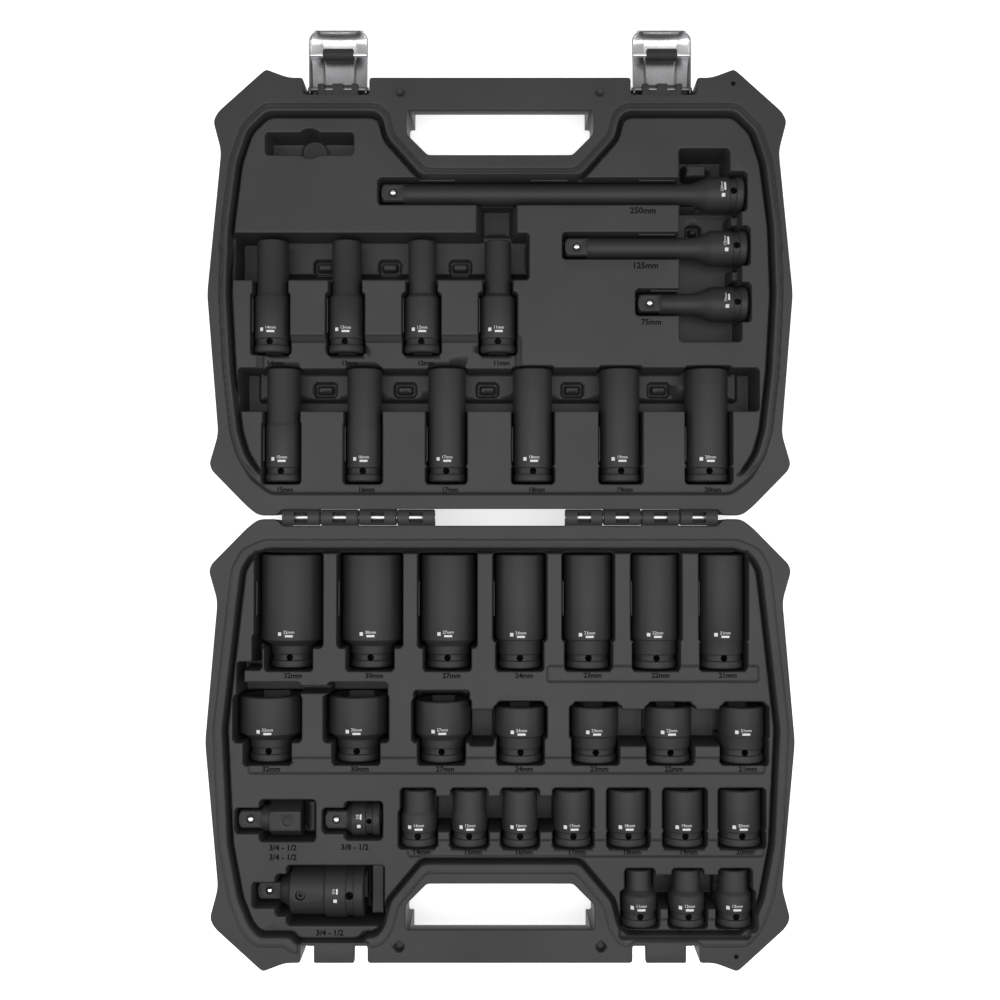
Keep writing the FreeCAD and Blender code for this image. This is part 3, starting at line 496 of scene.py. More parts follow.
# Profiles of the band round the field: distance inside its line, height.
BASE_EDGE = [(-0.8, 48.0), (-0.2, 47.6), (0.3, 46.7), (0.9, 46.9), (1.4, 47.2), (5.2, 46.2),
             (5.8, 45.4), (6.3, 40.5), (6.9, 36.0), (8.0, 36.0), (8.5, 40.5), (9.0, 43.4),
             (9.6, 44.0)]
PLAIN_EDGE = [(-0.8, 48.0), (-0.3, 47.4), (0.3, 45.6), (0.8, 44.4), (1.3, 44.0)]
LID_EDGE = [(-0.3, 48.0), (0.0, 47.3), (0.3, 46.0), (0.8, 46.3), (1.6, 46.7), (3.6, 47.4),
            (4.4, 47.3), (4.9, 46.4), (5.2, 43.0), (5.6, 36.5), (6.2, 35.5), (7.1, 35.5),
            (7.6, 38.5), (7.9, 43.0), (8.3, 43.8), (9.0, 44.0)]


def tray_heights(half, x, v):
    """Height of one half's inner face, in mm, on a grid of points."""
    if half == "lid":
        t = soften(inside_distance(x, v, full_loop(RIM_LINE_LID)), 5) - 2.0
        fade = np.clip((36.0 - v) / 8.0, 0, 1)
        height = (1 - fade) * profile_height(t, LID_EDGE) + fade * profile_height(t, PLAIN_EDGE)
        recesses = list(LID_RECESSES)
        for size, cx, drive_v in LID_DEEP:
            recesses += socket_recesses(size, True, cx, drive_v, 1)
    else:
        t = np.maximum(inside_distance(x, v, full_loop(FIELD_BASE)),
                       rectangle_depth(x, v, -140.5, -94.0, 262.0, 287.4, 2.0))
        t = soften(t, 4) + 7.5
        height = profile_height(t, BASE_EDGE)
        recesses = BASE_RECESSES + BASE_CHANNELS
        for deep, group in ((True, BASE_DEEP), (False, BASE_SHALLOW)):
            for size, cx, drive_v in group:
                recesses += socket_recesses(size, deep, cx, drive_v, -1)
    for recess in recesses:
        (x0, x1), (v0, v1), floor = recess[:3]
        corner, draft = recess[3:] or (2.2, 0.7)
        s = rectangle_depth(x, v, x0, x1, v0, v1, corner)
        height = np.minimum(height, FIELD - wall_drop(s, FIELD - floor, draft=draft) +
                            np.where(s < -1.1, 100.0, 0.0))
    for x0, x1, v0, v1, top in LID_STEPS if half == "lid" else BASE_STEPS:
        s = rectangle_depth(x, v, x0, x1, v0, v1, 2.0)
        raised = height + (top - height) * np.clip(s / 1.6, 0, 1)
        height = np.where((s > 0) & (height < top), raised, height)
    if half == "lid":
        for x0, x1, v0, v1 in LID_RINGS:
            s = rectangle_depth(x, v, x0, x1, v0, v1, 3.0)
            groove = np.clip(s / 0.8, 0, 1) * np.clip((RING_WIDTH - s) / 0.8, 0, 1)
            height = height - RING_DEPTH * groove
    else:
        for side in (-1, 1):
            s = PEG_HOLE_RADIUS - np.hypot(x - side * PEG_X, v - PEG_V)
            height = height - PEG_HOLE_DEPTH * np.clip(s / 0.5, 0, 1)
    return height


def rectangle_depth(x, v, x0, x1, v0, v1, corner):
    """Distance inside a rectangle with rounded corners, negative outside it."""
    dx = np.abs(x - (x0 + x1) / 2) - ((x1 - x0) / 2 - corner)
    dv = np.abs(v - (v0 + v1) / 2) - ((v1 - v0) / 2 - corner)
    outside = np.hypot(np.maximum(dx, 0), np.maximum(dv, 0)) - corner
    return -(outside + np.minimum(np.maximum(dx, dv), 0))


def leaf_cells(keep, height):
    """Splits the kept cells into square blocks that are flat enough for one face."""
    rows, columns = keep.shape
    blocks = []

    def visit(r, c, size):
        r1, c1 = min(r + size, rows), min(c + size, columns)
        part = keep[r:r1, c:c1]
        if not part.any():
            return
        if size == 1:
            blocks.append((r, c, 1))
            return
        if part.all() and r + size <= rows and c + size <= columns:
            z = height[r:r + size + 1, c:c + size + 1]
            if z.max() - z.min() < 1e-4:
                blocks.append((r, c, size))
                return
        half = size // 2
        for dr in (0, half):
            for dc in (0, half):
                if r + dr < rows and c + dc < columns:
                    visit(r + dr, c + dc, half)

    top = 16
    for r in range(0, rows, top):
        for c in range(0, columns, top):
            visit(r, c, top)
    return blocks


GRIP_STOPS = (-GRIP_END - 0.1, -GRIP_END, GRIP_END, GRIP_END + 0.1)
BORDER = 1.5                            # the grid ends this far inside the outlines
FLAT_BORDER = 2.4                       # and the rim is flat this far inside them
LIP = 1.0                               # where the rounded lip starts
# Rounded lip, drafted wall and lower edge: distance inwards, depth below the rim.
WALL_STATIONS = [(0.5, 0.18), (0.15, 0.5), (0.0, 1.1), (0.4, 24.0), (0.9, 43.5), (1.6, 46.2),
                 (2.9, 47.6), (4.4, 48.0)]
GRIP_GAP = 32.0                         # what the handle's bar lacks of the full depth
GRIP_WALL = 8.0


def ring_at(corners, distance):
    """The rounded outline moved inwards, with stops at both ends of the handle's grip."""
    ring = rounded(inset(full_loop(corners), distance), 2.2, 4)
    stopped = []
    for i, here in enumerate(ring):
        after = ring[(i + 1) % len(ring)]
        stopped.append(here)
        crossed = [x for x in GRIP_STOPS if min(here[1], after[1]) > GRIP_FROM_V and
                   min(here[0], after[0]) < x < max(here[0], after[0])]
        for x in sorted(crossed, key=lambda stop: abs(stop - here[0])):
            share = (x - here[0]) / (after[0] - here[0])
            stopped.append((x, here[1] + share * (after[1] - here[1])))
    return stopped


def in_grip(point):
    return abs(point[0]) < GRIP_END + 0.05 and point[1] > GRIP_FROM_V


def grip_depth(depth):
    """Depth below the rim of a wall's station, on the thinner bar of the handle."""
    if depth > 40.0:
        return depth - GRIP_GAP
    return min(depth, GRIP_WALL)


def grid_face(half, xs, vs):
    """The moulded face on the grid: vertices, faces, normals and the cells it covers."""
    x, v = np.meshgrid(xs, vs)
    height = tray_heights(half, x, v)
    edge = inside_distance(x, v, ring_at(OUTLINE, 0.0))
    hole = inside_distance(x, v, ring_at(WINDOW, 0.0))
    good = (edge > BORDER) & (hole < -BORDER)
    height = np.where((edge < FLAT_BORDER) | (hole > -FLAT_BORDER), RIM, height)
    keep = good[:-1, :-1] & good[1:, :-1] & good[:-1, 1:] & good[1:, 1:]
    blocks = leaf_cells(keep, height)
    used = np.zeros(x.shape, dtype=bool)
    for r, c, size in blocks:
        used[r, c] = used[r + size, c] = used[r, c + size] = used[r + size, c + size] = True
    index = np.full(x.shape, -1, dtype=int)
    index[used] = np.arange(used.sum())
    vertices = [(a, b, z) for a, b, z in zip(x[used], v[used], height[used])]
    faces = []
    for r, c, size in blocks:
        ring = [(r, c + k) for k in range(size)] + [(r + k, c + size) for k in range(size)]
        ring += [(r + size, c + size - k) for k in range(size)]
        ring += [(r + size - k, c) for k in range(size)]
        faces.append([index[p] for p in ring if used[p]])
    dz_v, dz_x = np.gradient(height, STEP)
    normals = [Vector((-a, -b, 1.0)).normalized() for a, b in zip(dz_x[used], dz_v[used])]
    return vertices, faces, normals, keep


def border_edges(faces):
    """Pairs of vertices that belong to one face only."""
    count = {}
    for face in faces:
        for i in range(len(face)):
            pair = frozenset((face[i], face[(i + 1) % len(face)]))
            count[pair] = count.get(pair, 0) + 1
    return [tuple(pair) for pair, n in count.items() if n == 1]


def join_border(vertices, faces, normals, xs, vs, keep):
    """Fills the strip between the grid's jagged border and the smooth outlines.

    Returns both outlines' corners, each with the vertices along it."""
    border = border_edges(faces)
    border_ids = sorted({i for pair in border for i in pair})
    local = {i: n for n, i in enumerate(border_ids)}
    flat = [Vector((vertices[i][0], vertices[i][1])) for i in border_ids]
    edges = [(local[a], local[b]) for a, b in border]
    loops = []
    for corners in (OUTLINE, WINDOW):
        ring = ring_at(corners, LIP)
        start = len(flat)
        flat += [Vector(p) for p in ring]
        edges += [(start + i, start + (i + 1) % len(ring)) for i in range(len(ring))]
        loops.append((corners, start, len(ring)))
    result = delaunay_2d_cdt(flat, edges, [], 0, 1e-6)
    points, triangles, origin = result[0], result[2], result[3]
    mapping = {}
    for n, sources in enumerate(origin):
        if sources and sources[0] < len(border_ids):
            mapping[n] = border_ids[sources[0]]
        else:
            mapping[n] = len(vertices)
            vertices.append((points[n][0], points[n][1], RIM))
            normals.append(Vector((0.0, 0.0, 1.0)))
    where = {source: mapping[n] for n, sources in enumerate(origin) for source in sources}
    centres = np.array([[sum(points[i][k] for i in tri) / 3 for k in (0, 1)]
                        for tri in triangles])
    in_edge = inside_distance(centres[:, 0], centres[:, 1], ring_at(OUTLINE, LIP)) > 0
    off_hole = inside_distance(centres[:, 0], centres[:, 1], ring_at(WINDOW, LIP)) < 0
    for n, tri in enumerate(triangles):
        r = int((centres[n, 1] - vs[0]) / STEP)
        c = int((centres[n, 0] - xs[0]) / STEP)
        covered = 0 <= r < keep.shape[0] and 0 <= c < keep.shape[1] and keep[r, c]
        if in_edge[n] and off_hole[n] and not covered:
            faces.append([mapping[i] for i in tri])
    return [(corners, [where[start + i] for i in range(count)])
            for corners, start, count in loops]


def add_walls(vertices, faces, normals, loops):
    """Lips and drafted walls below both outlines. Returns the two lowest rings."""
    lowest = []
    for corners, previous in loops:
        for distance, depth in WALL_STATIONS:
            ids = []
            for p in ring_at(corners, distance):
                ids.append(len(vertices))
                vertices.append((p[0], p[1], RIM - (grip_depth(depth) if in_grip(p) else depth)))
                normals.append(None)
            for i in range(len(ids)):
                j = (i + 1) % len(ids)
                faces.append([previous[i], ids[i], ids[j], previous[j]])
            previous = ids
        lowest.append(previous)
    return lowest


def add_outside(vertices, faces, normals, lowest):
    """The outside face between the two lowest rings, stepped where the handle is thin."""
    every = lowest[0] + lowest[1]
    flat = [Vector(vertices[i][:2]) for i in every]
    first = len(lowest[0])
    second = len(lowest[1])
    edges = [(i, (i + 1) % first) for i in range(first)]
    edges += [(first + i, first + (i + 1) % second) for i in range(second)]
    for x in GRIP_STOPS:
        edges.append(tuple(i for i, p in enumerate(flat)
                           if abs(p.x - x) < 1e-4 and p.y > GRIP_FROM_V))
    result = delaunay_2d_cdt(flat, edges, [], 0, 1e-6)
    points, triangles, origin = result[0], result[2], result[3]
    ids = []
    for n, point in enumerate(points):
        if origin[n]:
            ids.append(every[origin[n][0]])
        else:
            ids.append(len(vertices))
            vertices.append((point[0], point[1], 0.0))
            normals.append(None)
    for tri in triangles:
        centre = sum((points[i] for i in tri), Vector((0.0, 0.0))) / 3
        cx, cv = np.array([centre.x]), np.array([centre.y])
        in_edge = inside_distance(cx, cv, flat[:first])[0] > 0
        if in_edge and inside_distance(cx, cv, flat[first:])[0] < 0:
            faces.append([ids[i] for i in reversed(tri)])


def build_tray(half):
    """One closed half: the moulded face, its border, the walls and the outside."""
    sign = SIGN[half]
    xs = np.arange(-202.15, 202.2, STEP)
    vs = np.arange(0.0, 309.0, STEP)
    vertices, faces, normals, keep = grid_face(half, xs, vs)
    loops = join_border(vertices, faces, normals, xs, vs, keep)
    lowest = add_walls(vertices, faces, normals, loops)
    add_outside(vertices, faces, normals, lowest)
    placed = [(a * MM, (HINGE_Y + sign * b) * MM, z * MM) for a, b, z in vertices]
    if sign < 0:
        faces = [list(reversed(f)) for f in faces]
    tray = make_object(f"{half}_tray", placed, faces, CASE)
    own = [tuple(vertex.normal) for vertex in tray.data.vertices]
    shading = [own[i] if n is None else (n[0], sign * n[1], n[2])
               for i, n in enumerate(normals)]
    tray.data.normals_split_custom_set_from_vertices(shading)
    return tray


# ------------------------------------------------------------------ hinge and latch mouldings


KNUCKLES_FROM_X = 44.0
KNUCKLE_PITCH = 26.0
KNUCKLE_LENGTH = 25.4
KNUCKLE_RADIUS = 5.5
KNUCKLE_BORE = 1.97
KNUCKLE_WEB = 7.3
PIN_WINDOW_HALF = 4.65
PIN_WINDOW_REACH = 3.6
PIN_WINDOW_FLOOR = 2.4


def one_case_material(obj):
    """Clears what the booleans left: one material and sharp edges."""
    obj.data.materials.clear()
    obj.data.materials.append(CASE)
    sharpen(obj, 40)


def hinge_knuckles(half):
    """The half's own knuckles, bored and with the window that shows the pin."""
    last = 3 if half == "lid" else 2
    made = []
    for side in (-1, 1):
        for slot in (last, last - 2):
            start = KNUCKLES_FROM_X + slot * KNUCKLE_PITCH + (KNUCKLE_PITCH - KNUCKLE_LENGTH) / 2
            low = start if side > 0 else -start - KNUCKLE_LENGTH
            high = low + KNUCKLE_LENGTH
            knuckle = cylinder_x("knuckle", low, high, HINGE_Y, HINGE_AXIS, KNUCKLE_RADIUS, CASE,
                                 chamfer=0.7)
            ends = sorted((HINGE_Y, HINGE_Y + SIGN[half] * KNUCKLE_WEB))
            web = bevelled_box("web", (low, ends[0], HINGE_AXIS - KNUCKLE_RADIUS),
                               (high, ends[1], RIM - 0.03), CASE, 0.05, 1)
            boolean(knuckle, web, "UNION")
            middle = (low + high) / 2
            opening = bevelled_box("opening", (middle - PIN_WINDOW_HALF,
                                               HINGE_Y - PIN_WINDOW_REACH,
                                               HINGE_AXIS - PIN_WINDOW_FLOOR),
                                   (middle + PIN_WINDOW_HALF, HINGE_Y + PIN_WINDOW_REACH,
                                    HINGE_AXIS + 8.0), CASE, 0.5, 2)
            boolean(knuckle, opening, "DIFFERENCE")
            bore = cylinder_x("bore", low - 1, high + 1, HINGE_Y, HINGE_AXIS, KNUCKLE_BORE, CASE,
                              chamfer=0.0)
            boolean(knuckle, bore, "DIFFERENCE")
            one_case_material(knuckle)
            made.append(knuckle)
    return made


BRACKET_HALF = 14.0
BRACKET_THICKNESS = 3.4
BRACKET_GAPS = (-9.5, 3.5)
BRACKET_GAP_WIDTH = 6.0
BRACKET_BORE = 1.55
FRONT_WALL_HALF = 23.6
FRONT_WALL_FROM = 0.6
CATCH_HALF = 13.7
CATCH_HEIGHT = 7.0
CATCH_OPENING = 31.0                    # from the rim down to the wall under the catch


def latch_bracket(x):
    """Lid bracket with the pivot pin's bore and the two small windows over the pin."""
    block = bevelled_box("bracket", (x - BRACKET_HALF, HINGE_Y + 289.5,
                                     LATCH_PIVOT - BRACKET_THICKNESS),
                         (x + BRACKET_HALF, HINGE_Y + 301.2, LATCH_PIVOT + BRACKET_THICKNESS),
                         CASE, 0.8)
    for offset in BRACKET_GAPS:
        gap = bevelled_box("gap", (x + offset, HINGE_Y + 295.6, LATCH_PIVOT),
                           (x + offset + BRACKET_GAP_WIDTH, HINGE_Y + 303.0, LATCH_PIVOT + 6),
                           CASE, 0.4, 2)
        boolean(block, gap, "DIFFERENCE")
    bore = cylinder_x("bore", x - BRACKET_HALF - 2, x + BRACKET_HALF + 2, HINGE_Y + LATCH_V,
                      LATCH_PIVOT, BRACKET_BORE, CASE, chamfer=0.0)
    boolean(block, bore, "DIFFERENCE")
    one_case_material(block)
    return block


def latch_mouldings(half):
    """Brackets in the lid's front notches, catch tabs in the base's, and the wall below them."""
    made = []
    for x in (-LATCH_X, LATCH_X):
        if half == "lid":
            made.append(latch_bracket(x))
            far, top = 301.9, LATCH_PIVOT - 10.5
        else:
            far, top = 302.0, RIM - CATCH_OPENING
        y0, y1 = sorted((HINGE_Y + SIGN[half] * 288.5, HINGE_Y + SIGN[half] * far))
        if half == "base":
            made.append(bevelled_box("catch_tab", (x - CATCH_HALF, y0, RIM - CATCH_HEIGHT),
                                     (x + CATCH_HALF, y1, RIM), CASE, 1.0))
        made.append(bevelled_box("front_wall", (x - FRONT_WALL_HALF, y0, FRONT_WALL_FROM),
                                 (x + FRONT_WALL_HALF, y1, top), CASE, 1.0))
    return made


def pegs():
    """The two tapered pegs on the lid's rim, which enter the base's holes."""
    made = []
    for side in (-1, 1):
        mesh = bmesh.new()
        bmesh.ops.create_cone(mesh, segments=32, radius1=2.9 * MM, radius2=1.9 * MM,
                              depth=(PEG_HEIGHT + 1) * MM, cap_ends=True)
        bmesh.ops.translate(mesh, verts=mesh.verts,
                            vec=Vector((side * PEG_X, HINGE_Y + PEG_V,
                                        RIM - 0.5 + PEG_HEIGHT / 2)) * MM)
        data = bpy.data.meshes.new("peg")
        mesh.to_mesh(data)
        mesh.free()
        obj = bpy.data.objects.new("peg", data)
        bpy.context.scene.collection.objects.link(obj)
        data.materials.append(CASE)
        sharpen(obj, 40)
        made.append(obj)
    return made


for half in ("lid", "base"):
    tray = build_tray(half)
    extras = hinge_knuckles(half) + latch_mouldings(half)
    if half == "lid":
        extras += pegs()
    fittings = join(extras, f"{half}_fittings")
    for piece in (tray, fittings):
        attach(piece, half)
        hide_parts(f"{half}_shell")

# ------------------------------------------------------------------ small mouldings of the case


def round_piece(name, x, v, sign, rings, material, sides=28):
    """Turned detail on the rim from (radius, height above the rim) pairs in mm."""
    vertices = [((x + r * math.cos(2 * math.pi * i / sides)) * MM,
                 (HINGE_Y + sign * v + r * math.sin(2 * math.pi * i / sides)) * MM,
                 (RIM + z) * MM) for r, z in rings for i in range(sides)]
    faces = [(k * sides + i, k * sides + (i + 1) % sides, (k + 1) * sides + (i + 1) % sides,
              (k + 1) * sides + i) for k in range(len(rings) - 1) for i in range(sides)]
    faces.append(tuple((len(rings) - 1) * sides + i for i in range(sides)))
    obj = make_object(name, vertices, faces, material)
    sharpen(obj, 40)
    return obj


def lettering(text, height, bold=0.0):
    """Flat mesh of a short text in mm, centred, as vertices and faces."""
    curve = bpy.data.curves.new("text", "FONT")
    curve.body = text
    curve.size = height / 0.73
    curve.align_x = "CENTER"
    curve.resolution_u = 2
    curve.offset = bold
    holder = bpy.data.objects.new("text", curve)
    bpy.context.scene.collection.objects.link(holder)
    graph = bpy.context.evaluated_depsgraph_get()
    graph.update()
    mesh = bpy.data.meshes.new_from_object(holder.evaluated_get(graph))
    vertices = [(vertex.co.x, vertex.co.y - height / 2) for vertex in mesh.vertices]
    faces = [tuple(face.vertices) for face in mesh.polygons]
    bpy.data.objects.remove(holder)
    bpy.data.meshes.remove(mesh)
    return vertices, faces


def bar_grid(x0, x1, y0, y1, steps=8):
    """Flat bar cut into narrow strips, so that it can follow a curved surface."""
    xs = [x0 + (x1 - x0) * i / steps for i in range(steps + 1)]
    vertices = [(x, y) for y in (y0, y1) for x in xs]
    faces = [(i, i + 1, steps + 2 + i, steps + 1 + i) for i in range(steps)]
    return vertices, faces


# Engraved sizes: text, x, v, height of the text, height of the surface.
LABELS = {
    "lid": [(f"{size}mm", x + 2.5, 106.8, 3.3, LID_LEDGE) for size, x, v in LID_DEEP if v > 100] +
           [(f"{size}mm", x + 2.5, 19.2, 3.3, FIELD) for size, x, v in LID_DEEP if v < 100] +
           [("250mm", 98.5, 211.4, 4.3, FIELD), ("125mm", 100.0, 173.4, 4.3, FIELD),
            ("75mm", 104.0, 134.4, 4.0, FIELD)],
    "base": [(f"{size}mm", x + 3.0, 108.0, 3.6, BASE_LEDGE if x > 30 else FIELD)
             for size, x, v in BASE_DEEP] +
            [(f"{size}mm", x + 2.5, v + 3.9, 3.6, BASE_LEDGE) for size, x, v in BASE_SHALLOW
             if v < 270] +
            [(f"{size}mm", x - 3.0, 282.3, 2.8, BASE_LEDGE) for size, x, v in BASE_SHALLOW
             if v > 270] +
            [("3/4 - 1/2", -148.0, 225.0, 4.0, FIELD), ("3/4 - 1/2", -148.0, 231.5, 4.0, FIELD),
             ("3/8 - 1/2", -99.0, 224.6, 4.0, FIELD), ("3/4 - 1/2", -116.0, 282.6, 4.0, FIELD)],
}


def engraved_labels(half):
    """All the engraved sizes of one half, as thin shapes just above their surface, dark with
    painted shade in place of real grooves.
    """
    sign = SIGN[half]
    vertices = []
    faces = []
    for text, x, v, height, level in LABELS[half]:
        points, polygons = lettering(text, height, 0.16)
        start = len(vertices)
        vertices += [((x + a) * MM, (HINGE_Y + sign * v + b) * MM, (level + 0.05) * MM)
                     for a, b in points]
        faces += [tuple(start + i for i in polygon) for polygon in polygons]
    return make_object(f"{half}_labels", vertices, faces, PAINTED_HOLLOW_SHADE, smooth=False)


RIB_THICKNESS = 1.0
RIB_LOW = 38.0
RIB_HIGH = 40.6


def retention_ribs(half):
    """Thin ribs on the walls of the slots, which hold the tools."""
    spans = []
    if half == "lid":
        for x0, x1, v in ((-56, -31, 232.6), (21, 47, 232.6), (96, 121, 232.6), (96, 121, 195.0),
                          (104, 124, 156.0)):
            spans.append((x0, x1, v, v + RIB_THICKNESS))
        for size, x, drive_v in LID_DEEP:
            wall = x - socket_form(size, True)[0] - RIB_THICKNESS
            spans.append((wall, wall + RIB_THICKNESS, drive_v + 14.0, drive_v + 38.0))
    else:
        for size, x, drive_v in BASE_DEEP:
            wall = x - MOUTH[size] / 2 - RIB_THICKNESS
            spans.append((wall, wall + RIB_THICKNESS, drive_v - 60.0, drive_v - 36.0))
    made = []
    for x0, x1, v0, v1 in spans:
        y0, y1 = sorted((HINGE_Y + SIGN[half] * v0, HINGE_Y + SIGN[half] * v1))
        made.append(bevelled_box("rib", (x0, y0, RIB_LOW), (x1, y1, RIB_HIGH), CASE, 0.35, 2))
    return made


for half, sign in SIGN.items():
    details = [engraved_labels(half)] + retention_ribs(half)
    # The blow hole is a flat disc of painted shade on the rim, not a real hole.
    details.append(round_piece("blow_hole", 160.0, 297.5, sign, [(1.6, 0.03)], PAINTED_HOLLOW_SHADE))
    small = join(details, f"{half}_small_details")
    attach(small, half)


# ------------------------------------------------------------------ laser marks on the tools

MARK_LIFT = 0.05                        # above the tool's surface


def wrap_marks(name, parts, place):
    """One flat mesh from several shapes, each point put on the tool's surface by place."""
    vertices = []
    faces = []
    for points, polygons in parts:
        start = len(vertices)
        vertices += [place(a, b) for a, b in points]
        faces += [tuple(start + i for i in polygon) for polygon in polygons]
    return make_object(name, vertices, faces, MARK, smooth=False)


def shifted(shape, dx, dy):
    return [(x + dx, y + dy) for x, y in shape[0]], shape[1]


def mark_parts(text, height=2.2):
    """Size above a plain bar, beside a small square."""
    centre = 2.2
    width = 0.62 * height * len(text)
    return [shifted(lettering(text, height), centre, height * 0.62),
            bar_grid(centre - width / 2, centre + width / 2, -height * 0.95, -height * 0.3),
            bar_grid(-5.4, -3.0, -1.2, 1.2, 2)]


def mark_socket(size, deep, x, drive_v, direction):
    """Marks on the part of the body next to the groove, read from the mouth downwards."""
    drive, neck, shoulder, length = socket_form(size, deep)
    axis = socket_axis(size)
    from_drive = 15.5 if deep else 13.6
    if size >= 27:
        from_drive = 24.0 if deep else 22.0
    radius = MOUTH[size] / 2
    if size <= 16:
        radius = drive
    elif size <= 24 and (neck or 0) > from_drive - 2:
        from_drive = neck + 4.5
    y = HINGE_Y + direction * (drive_v + (from_drive if direction > 0 else -from_drive))

    def place(a, b):
        turn = (a - 1.5) / radius
        return ((x + (radius + MARK_LIFT) * math.sin(turn)) * MM, (y + b) * MM,
                (axis + (radius + MARK_LIFT) * math.cos(turn)) * MM)

    label = f"{'deep' if deep else 'shallow'}_socket_{size}"
    piece = wrap_marks(f"mark_{label}", mark_parts(f"{size}mm"), place)
    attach(piece, label)


def mark_bar(label, text, x, y, axis, radius):
    """Marks that read along Y, round a bar that lies along X with its axis at that height."""

    def place(a, b):
        turn = (a + 1.0) / radius
        return ((x - b) * MM, (y + (radius + MARK_LIFT) * math.sin(turn)) * MM,
                (axis + (radius + MARK_LIFT) * math.cos(turn)) * MM)

    piece = wrap_marks(f"mark_{label}", mark_parts(text, 1.9), place)
    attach(piece, label)


for size, x, v in LID_DEEP:
    mark_socket(size, True, x, v, 1.0)
for size, x, v in BASE_DEEP:
    mark_socket(size, True, x, v, -1.0)
for size, x, v in BASE_SHALLOW:
    mark_socket(size, False, x, v, -1.0)
COLLAR_RADIUS = 12.25
COLLAR_AXIS = 34.25
MARK_FROM_END = 14.5
for length, x, v in ((250, -82.0, 224.6), (125, 45.0, 187.0), (75, 95.4, 148.0)):
    mark_bar(f"extension_{length}", f"{length}mm", x + length - MARK_FROM_END, HINGE_Y + v,
             COLLAR_AXIS, COLLAR_RADIUS)
mark_bar("adapter_three_eighths", "3/8", x=-96.0, y=HINGE_Y - 207.0, axis=34.8, radius=11.7)
mark_bar("adapter_three_quarters", "3/4", x=-112.0, y=HINGE_Y - 257.5, axis=27.6, radius=18.9)

# ------------------------------------------------------------------ stamped latch covers


PROFILE_POINTS = 13


def latch_cover(side, centre):
    """Open stamped dish: y runs from the pivot outwards, z up from the pivot line."""
    stations = []
    for y in (-3.6, -1.0, 4.0, 10.0, 16.0, 22.0, 28.0, 33.0, 35.5, 37.5, 39.0, 40.0, 40.6):
        share = (y + 3.6) / 44.2
        width = 19.4 + 1.2 * share
        if y > 33.0:
            width -= 8.0 - math.sqrt(max(0.0, 64.0 - (y - 33.0) ** 2))
        floor = -8.2 + 2.2 * share + 0.11 * max(0.0, y - 34.0) ** 2
        top = 3.4 - 3.0 * share
        stations.append((y, width, floor, top, 9.0 + 3.0 * share))
    stations.append((40.8, 17.4, -2.0, 0.4, 11.8))
    vertices = []
    for y, width, floor, top, panel in stations:
        panel = min(panel, width - 3.0)
        profile = [(-width, top), (-width, (top + floor) / 2), (-width + 0.9, floor + 2.6),
                   (-panel - 2.0, floor + 1.5), (-panel, floor), (-panel * 0.5, floor - 0.5),
                   (0.0, floor - 0.7)]
        profile += [(-a, b) for a, b in reversed(profile[:-1])]
        vertices += [((centre + a) * MM, (HINGE_Y + LATCH_V + y) * MM, (LATCH_PIVOT + b) * MM)
                     for a, b in profile]
    count = PROFILE_POINTS
    faces = [(k * count + i, k * count + i + 1, (k + 1) * count + i + 1, (k + 1) * count + i)
             for k in range(len(stations) - 1) for i in range(count - 1)]
    last = (len(stations) - 1) * count
    faces.append(tuple(last + i for i in range(count)))
    cover = make_object(f"latch_dish_{side}", vertices, faces, CHROME)
    thick = cover.modifiers.new("sheet", "SOLIDIFY")
    thick.thickness = 0.9 * MM
    thick.offset = 0.0
    smooth = cover.modifiers.new("edges", "BEVEL")
    smooth.width = 0.0003
    smooth.segments = 2
    smooth.limit_method = "ANGLE"
    smooth.angle_limit = math.radians(50)
    apply_modifiers(cover)
    sharpen(cover, 28)
    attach(cover, f"latch_{side}")
    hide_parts(f"latch_cover_{side}")


latch_cover("left", -LATCH_X)
latch_cover("right", LATCH_X)

# ------------------------------------------------------------------ plain CAD pieces

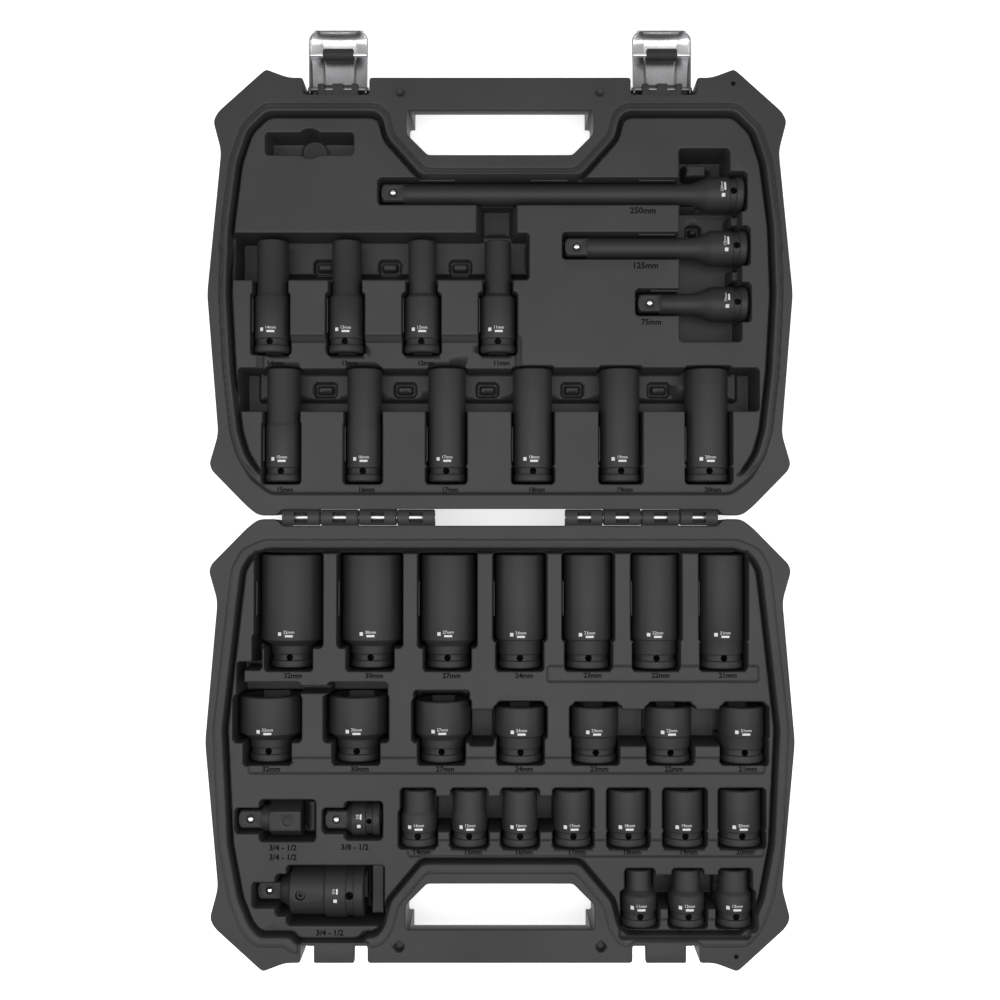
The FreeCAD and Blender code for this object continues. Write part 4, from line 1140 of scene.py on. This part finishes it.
# Material by the start of a node's name; black steel for the rest.
PLAIN = {"hinge_pin": BRIGHT, "latch_pin": DULL, "roller_wire": BRIGHT, "roller_left": RUBBER,
         "roller_right": RUBBER, "ball_": POLISHED, "latch_cover": CHROME, "set_screw": STEEL}
for name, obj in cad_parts.items():
    obj.data.materials.clear()
    chosen = STEEL
    for start, material in PLAIN.items():
        if name.startswith(start):
            chosen = material
    obj.data.materials.append(chosen)
    if name.startswith(("base_shell", "lid_shell")):
        continue
    weld = obj.modifiers.new("weld", "WELD")
    weld.merge_threshold = 0.00001
    soften_edges = obj.modifiers.new("edges", "BEVEL")
    soften_edges.width = 0.00035
    soften_edges.segments = 2
    soften_edges.limit_method = "ANGLE"
    soften_edges.angle_limit = math.radians(35)
    for polygon in obj.data.polygons:
        polygon.use_smooth = True
    split = obj.modifiers.new("split", "EDGE_SPLIT")
    split.split_angle = math.radians(40)

# ------------------------------------------------------------------ studio


# Sizes and places of the studio are in metres.
FLOOR_HALF = 15
CAMERA_PLACE = (0.0, -0.0174, 0.8279)
CAMERA_TILT = 1.0
CAMERA_LENS = 41.19
SKY_STRENGTH = 0.4

floor = make_object("floor", [(-FLOOR_HALF, -FLOOR_HALF, 0), (FLOOR_HALF, -FLOOR_HALF, 0),
                              (FLOOR_HALF, FLOOR_HALF, 0), (-FLOOR_HALF, FLOOR_HALF, 0)],
                    [(0, 1, 2, 3)], FLOOR, smooth=False)


def add_light(name, place, size, power, target=(0, 0, 0)):
    """Rectangular soft box that faces its target."""
    data = bpy.data.lights.new(name, "AREA")
    data.energy = power
    data.shape = "RECTANGLE"
    data.size = size[0]
    data.size_y = size[1]
    lamp = bpy.data.objects.new(name, data)
    lamp.location = place
    direction = Vector(target) - Vector(place)
    lamp.rotation_euler = direction.to_track_quat("-Z", "Y").to_euler()
    bpy.context.scene.collection.objects.link(lamp)


add_light("top", (0.0, -0.25, 1.9), (2.6, 1.6), 30)
add_light("left", (-1.6, 0.0, 1.1), (0.9, 1.6), 6)
add_light("right", (1.6, 0.0, 1.1), (0.9, 1.6), 6)

world = bpy.data.worlds.new("studio")
world.use_nodes = True
world.node_tree.nodes["Background"].inputs["Color"].default_value = (1, 1, 1, 1)
world.node_tree.nodes["Background"].inputs["Strength"].default_value = SKY_STRENGTH
bpy.context.scene.world = world
bpy.context.scene.view_settings.view_transform = "Standard"

camera_data = bpy.data.cameras.new("camera")
camera_data.lens = CAMERA_LENS
camera_data.sensor_width = 36.0
camera_data.clip_start = 0.01
camera = bpy.data.objects.new("camera", camera_data)
camera.location = CAMERA_PLACE
camera.rotation_euler = (math.radians(CAMERA_TILT), 0.0, 0.0)
bpy.context.scene.collection.objects.link(camera)
bpy.context.scene.camera = camera
